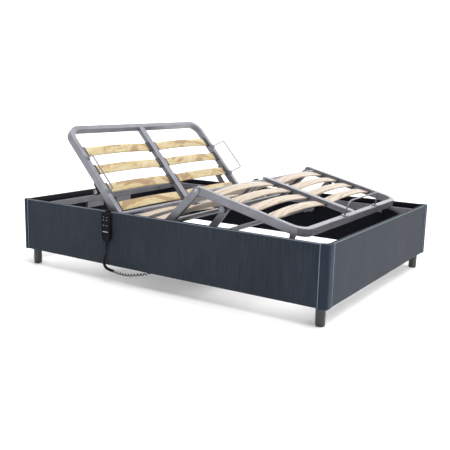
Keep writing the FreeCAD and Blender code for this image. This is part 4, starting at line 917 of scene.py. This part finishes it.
def add_handset():
    back_low, back_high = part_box("handset_back")
    front_low, front_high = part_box("handset_front")
    centre = (front_low.x + front_high.x) / 2
    half, neck = (front_high.x - front_low.x) / 2, 15 * MM
    low, high = front_low.z, front_high.z
    shoulder = low + 26 * MM
    for name, y0, y1, node in (("handset_front_shell", front_low.y, front_high.y, "handset_front"),
                               ("handset_back_shell", back_low.y, back_high.y, "handset_back")):
        inset = 0.0 if "front" in name else 0.5 * MM
        shape = handset_outline(half - inset, neck - inset, high - inset, low + inset, shoulder, centre, y0)
        piece = outlined(name, shape, (0, y1 - y0, 0))
        outer = y0 if "front" in name else y1
        pick(piece, "EDGE", lambda a, b: abs(a.y - outer) < 1e-6 and abs(b.y - outer) < 1e-6)
        bpy.ops.mesh.bevel(offset=3.6 * MM, segments=4, affect="EDGES", clamp_overlap=True)
        bpy.ops.object.mode_set(mode="OBJECT")
        if "front" in name:
            pick(piece, "FACE", lambda face: face.normal.y < -0.99 and face.area > 0.003)
            bpy.ops.mesh.inset(thickness=2.4 * MM)
            bpy.ops.mesh.extrude_region_move(TRANSFORM_OT_translate={"value": (0, 0.7 * MM, 0)})
            bpy.ops.object.mode_set(mode="OBJECT")
        tidy_mesh(piece)
        smooth(piece, 40)
        fit(piece, "handset", "black_plastic", BLACK_PLASTIC, node)
    face_y = front_low.y
    for name in ("button_back_up", "button_back_down", "button_legs_up", "button_legs_down"):
        b_low, b_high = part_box(name)
        key = block(name + "_key", b_low, b_high, 1.4 * MM, 3)
        pick(key, "FACE", lambda face: face.normal.y < -0.99 and face.area > 5e-5)
        bpy.ops.mesh.inset(thickness=1.6 * MM)
        bpy.ops.mesh.extrude_region_move(TRANSFORM_OT_translate={"value": (0, 0.5 * MM, 0)})
        bpy.ops.object.mode_set(mode="OBJECT")
        smooth(key, 40)
        fit(key, name, "button_plastic", KEY_PLASTIC, name)
        middle = (b_low + b_high) / 2
        point = 1 if name.endswith("up") else -1
        y = b_low.y + 0.5 * MM
        foot = middle.z - point * 1.6 * MM
        arrow = [(middle.x, y, middle.z + point * 2.4 * MM), (middle.x - 2.8 * MM, y, foot),
                 (middle.x + 2.8 * MM, y, foot)]
        fit(outlined(name + "_arrow", arrow, (0, -0.45 * MM, 0)), name, "button_plastic", LEGEND)
    marks = [block("mark", (centre - 18 * MM, face_y - 0.1 * MM, low + 52 * MM),
                   (centre + 18 * MM, face_y + 1.2 * MM, low + 56 * MM), 0.6 * MM, 2)]
    for side in (-1, 1):
        cx = centre + side * 11 * MM
        marks.append(block("mark", (cx - 3 * MM, face_y - 0.1 * MM, high - 24 * MM),
                           (cx + 3 * MM, face_y + 1.2 * MM, high - 22.4 * MM), 0.5 * MM, 2))
    fit(joined(marks, "handset_marks"), "handset", "button_plastic", LEGEND)
    relief_low, relief_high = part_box("handset_strain_relief")
    at = ((relief_low.x + relief_high.x) / 2, (relief_low.y + relief_high.y) / 2, 0)
    profile = [(0, relief_low.z), (2.6 * MM, relief_low.z), (4.0 * MM, relief_low.z + 0.6 * MM)]
    rings = 9
    for ring in range(rings):
        z = relief_low.z + 3 * MM + (relief_high.z - relief_low.z - 8 * MM) * ring / (rings - 1)
        r = (4.0 + 1.4 * ring / (rings - 1)) * MM
        profile += [(r, z), (r - 0.9 * MM, z + 0.9 * MM), (r - 0.9 * MM, z + 2.2 * MM), (r, z + 3.0 * MM)]
    profile += [(5.5 * MM, relief_high.z), (0, relief_high.z)]
    relief = turned("handset_strain_relief_sleeve", profile, at, steps=20)
    fit(relief, "handset", "cord_plastic", CORD_PLASTIC, "handset_strain_relief")


# ---------------------------------------------------------------- CAD pieces that stay

def paint_nodes():
    """Materials for the CAD nodes whose shape is already right."""
    finishes = {
        PAINT: ("side_rails", "cross_rails", "frame_brackets", "seat_frame", "seat_hinge_plates",
                "shaft_bearings", "back_frame", "back_inner_bars", "thigh_frame", "knee_hinge_plates",
                "leg_frame", "leg_inner_bars", "foot_roller_brackets", "back_lift_shaft", "leg_lift_shaft"),
        WIRE_PAINT: ("side_retainers", "foot_retainer"),
        ZINC: ("leg_plates", "frame_bolts", "seat_hinge_pins", "knee_hinge_pins", "drive_spindles"),
        LINING: ("side_boards", "end_boards", "corner_blocks"),
        NYLON: ("back_thrust_nut", "leg_thrust_nut"),
        GREY_PLASTIC: ("drive_motors",),
        BLACK_PLASTIC: ("handset_clip", "foot_ramps", "back_glide_shoes"),
        CIRCUIT: ("handset_circuit_board",),
    }
    for material, names in finishes.items():
        for name in names:
            mesh = NODES[name].data
            mesh.materials.clear()
            mesh.materials.append(material)


# ---------------------------------------------------------------- studio

def add_studio():
    let_go()
    bpy.ops.mesh.primitive_plane_add(size=80, location=(0, 0, 0))
    floor = named("studio_floor")
    surface = Finish("studio_floor_white", roughness=0.9, emission_color=(1.0, 1.0, 1.0, 1.0),
                     emission_strength=0.12)
    drift = surface.grain(surface.place((0.4, 0.4, 0.4)), 1.0, 1.0)
    white = surface.blend(drift, (0.93, 0.93, 0.93), (0.95, 0.95, 0.95))
    floor.data.materials.append(surface.feed(base_color=white))
    let_go()
    bpy.ops.mesh.primitive_plane_add(size=70, location=(-14, 22, 6),
                                     rotation=(math.radians(90), 0, math.radians(32.7)))
    wall = named("studio_backdrop")
    bpy.ops.object.transform_apply(location=True, rotation=True, scale=True)
    paper = Finish("studio_backdrop_white", base_color=(0.8, 0.8, 0.8, 1.0),
                   emission_color=(1.0, 1.0, 1.0, 1.0), emission_strength=1.0)
    wall.data.materials.append(paper.material)
    world = bpy.data.worlds.new("studio")
    world.use_nodes = True
    world.node_tree.nodes["Background"].inputs["Color"].default_value = (0.96, 0.98, 1.0, 1)
    world.node_tree.nodes["Background"].inputs["Strength"].default_value = 0.5
    bpy.context.scene.world = world
    data = bpy.data.lights.new("key_light", "SUN")
    data.energy = 2.9
    data.angle = math.radians(50)
    lamp = bpy.data.objects.new("key_light", data)
    lamp.rotation_euler = Vector((0.38, 0.02, 0.92)).to_track_quat("Z", "Y").to_euler()
    bpy.context.scene.collection.objects.link(lamp)
    bpy.context.scene.view_settings.view_transform = "Standard"


add_camera()
add_handset()
add_cord()
paint_nodes()
add_slats()
add_slat_screws()
add_box()
add_legs()
add_pivot_nuts()
add_rollers()
add_drive()
add_control_box()
add_studio()
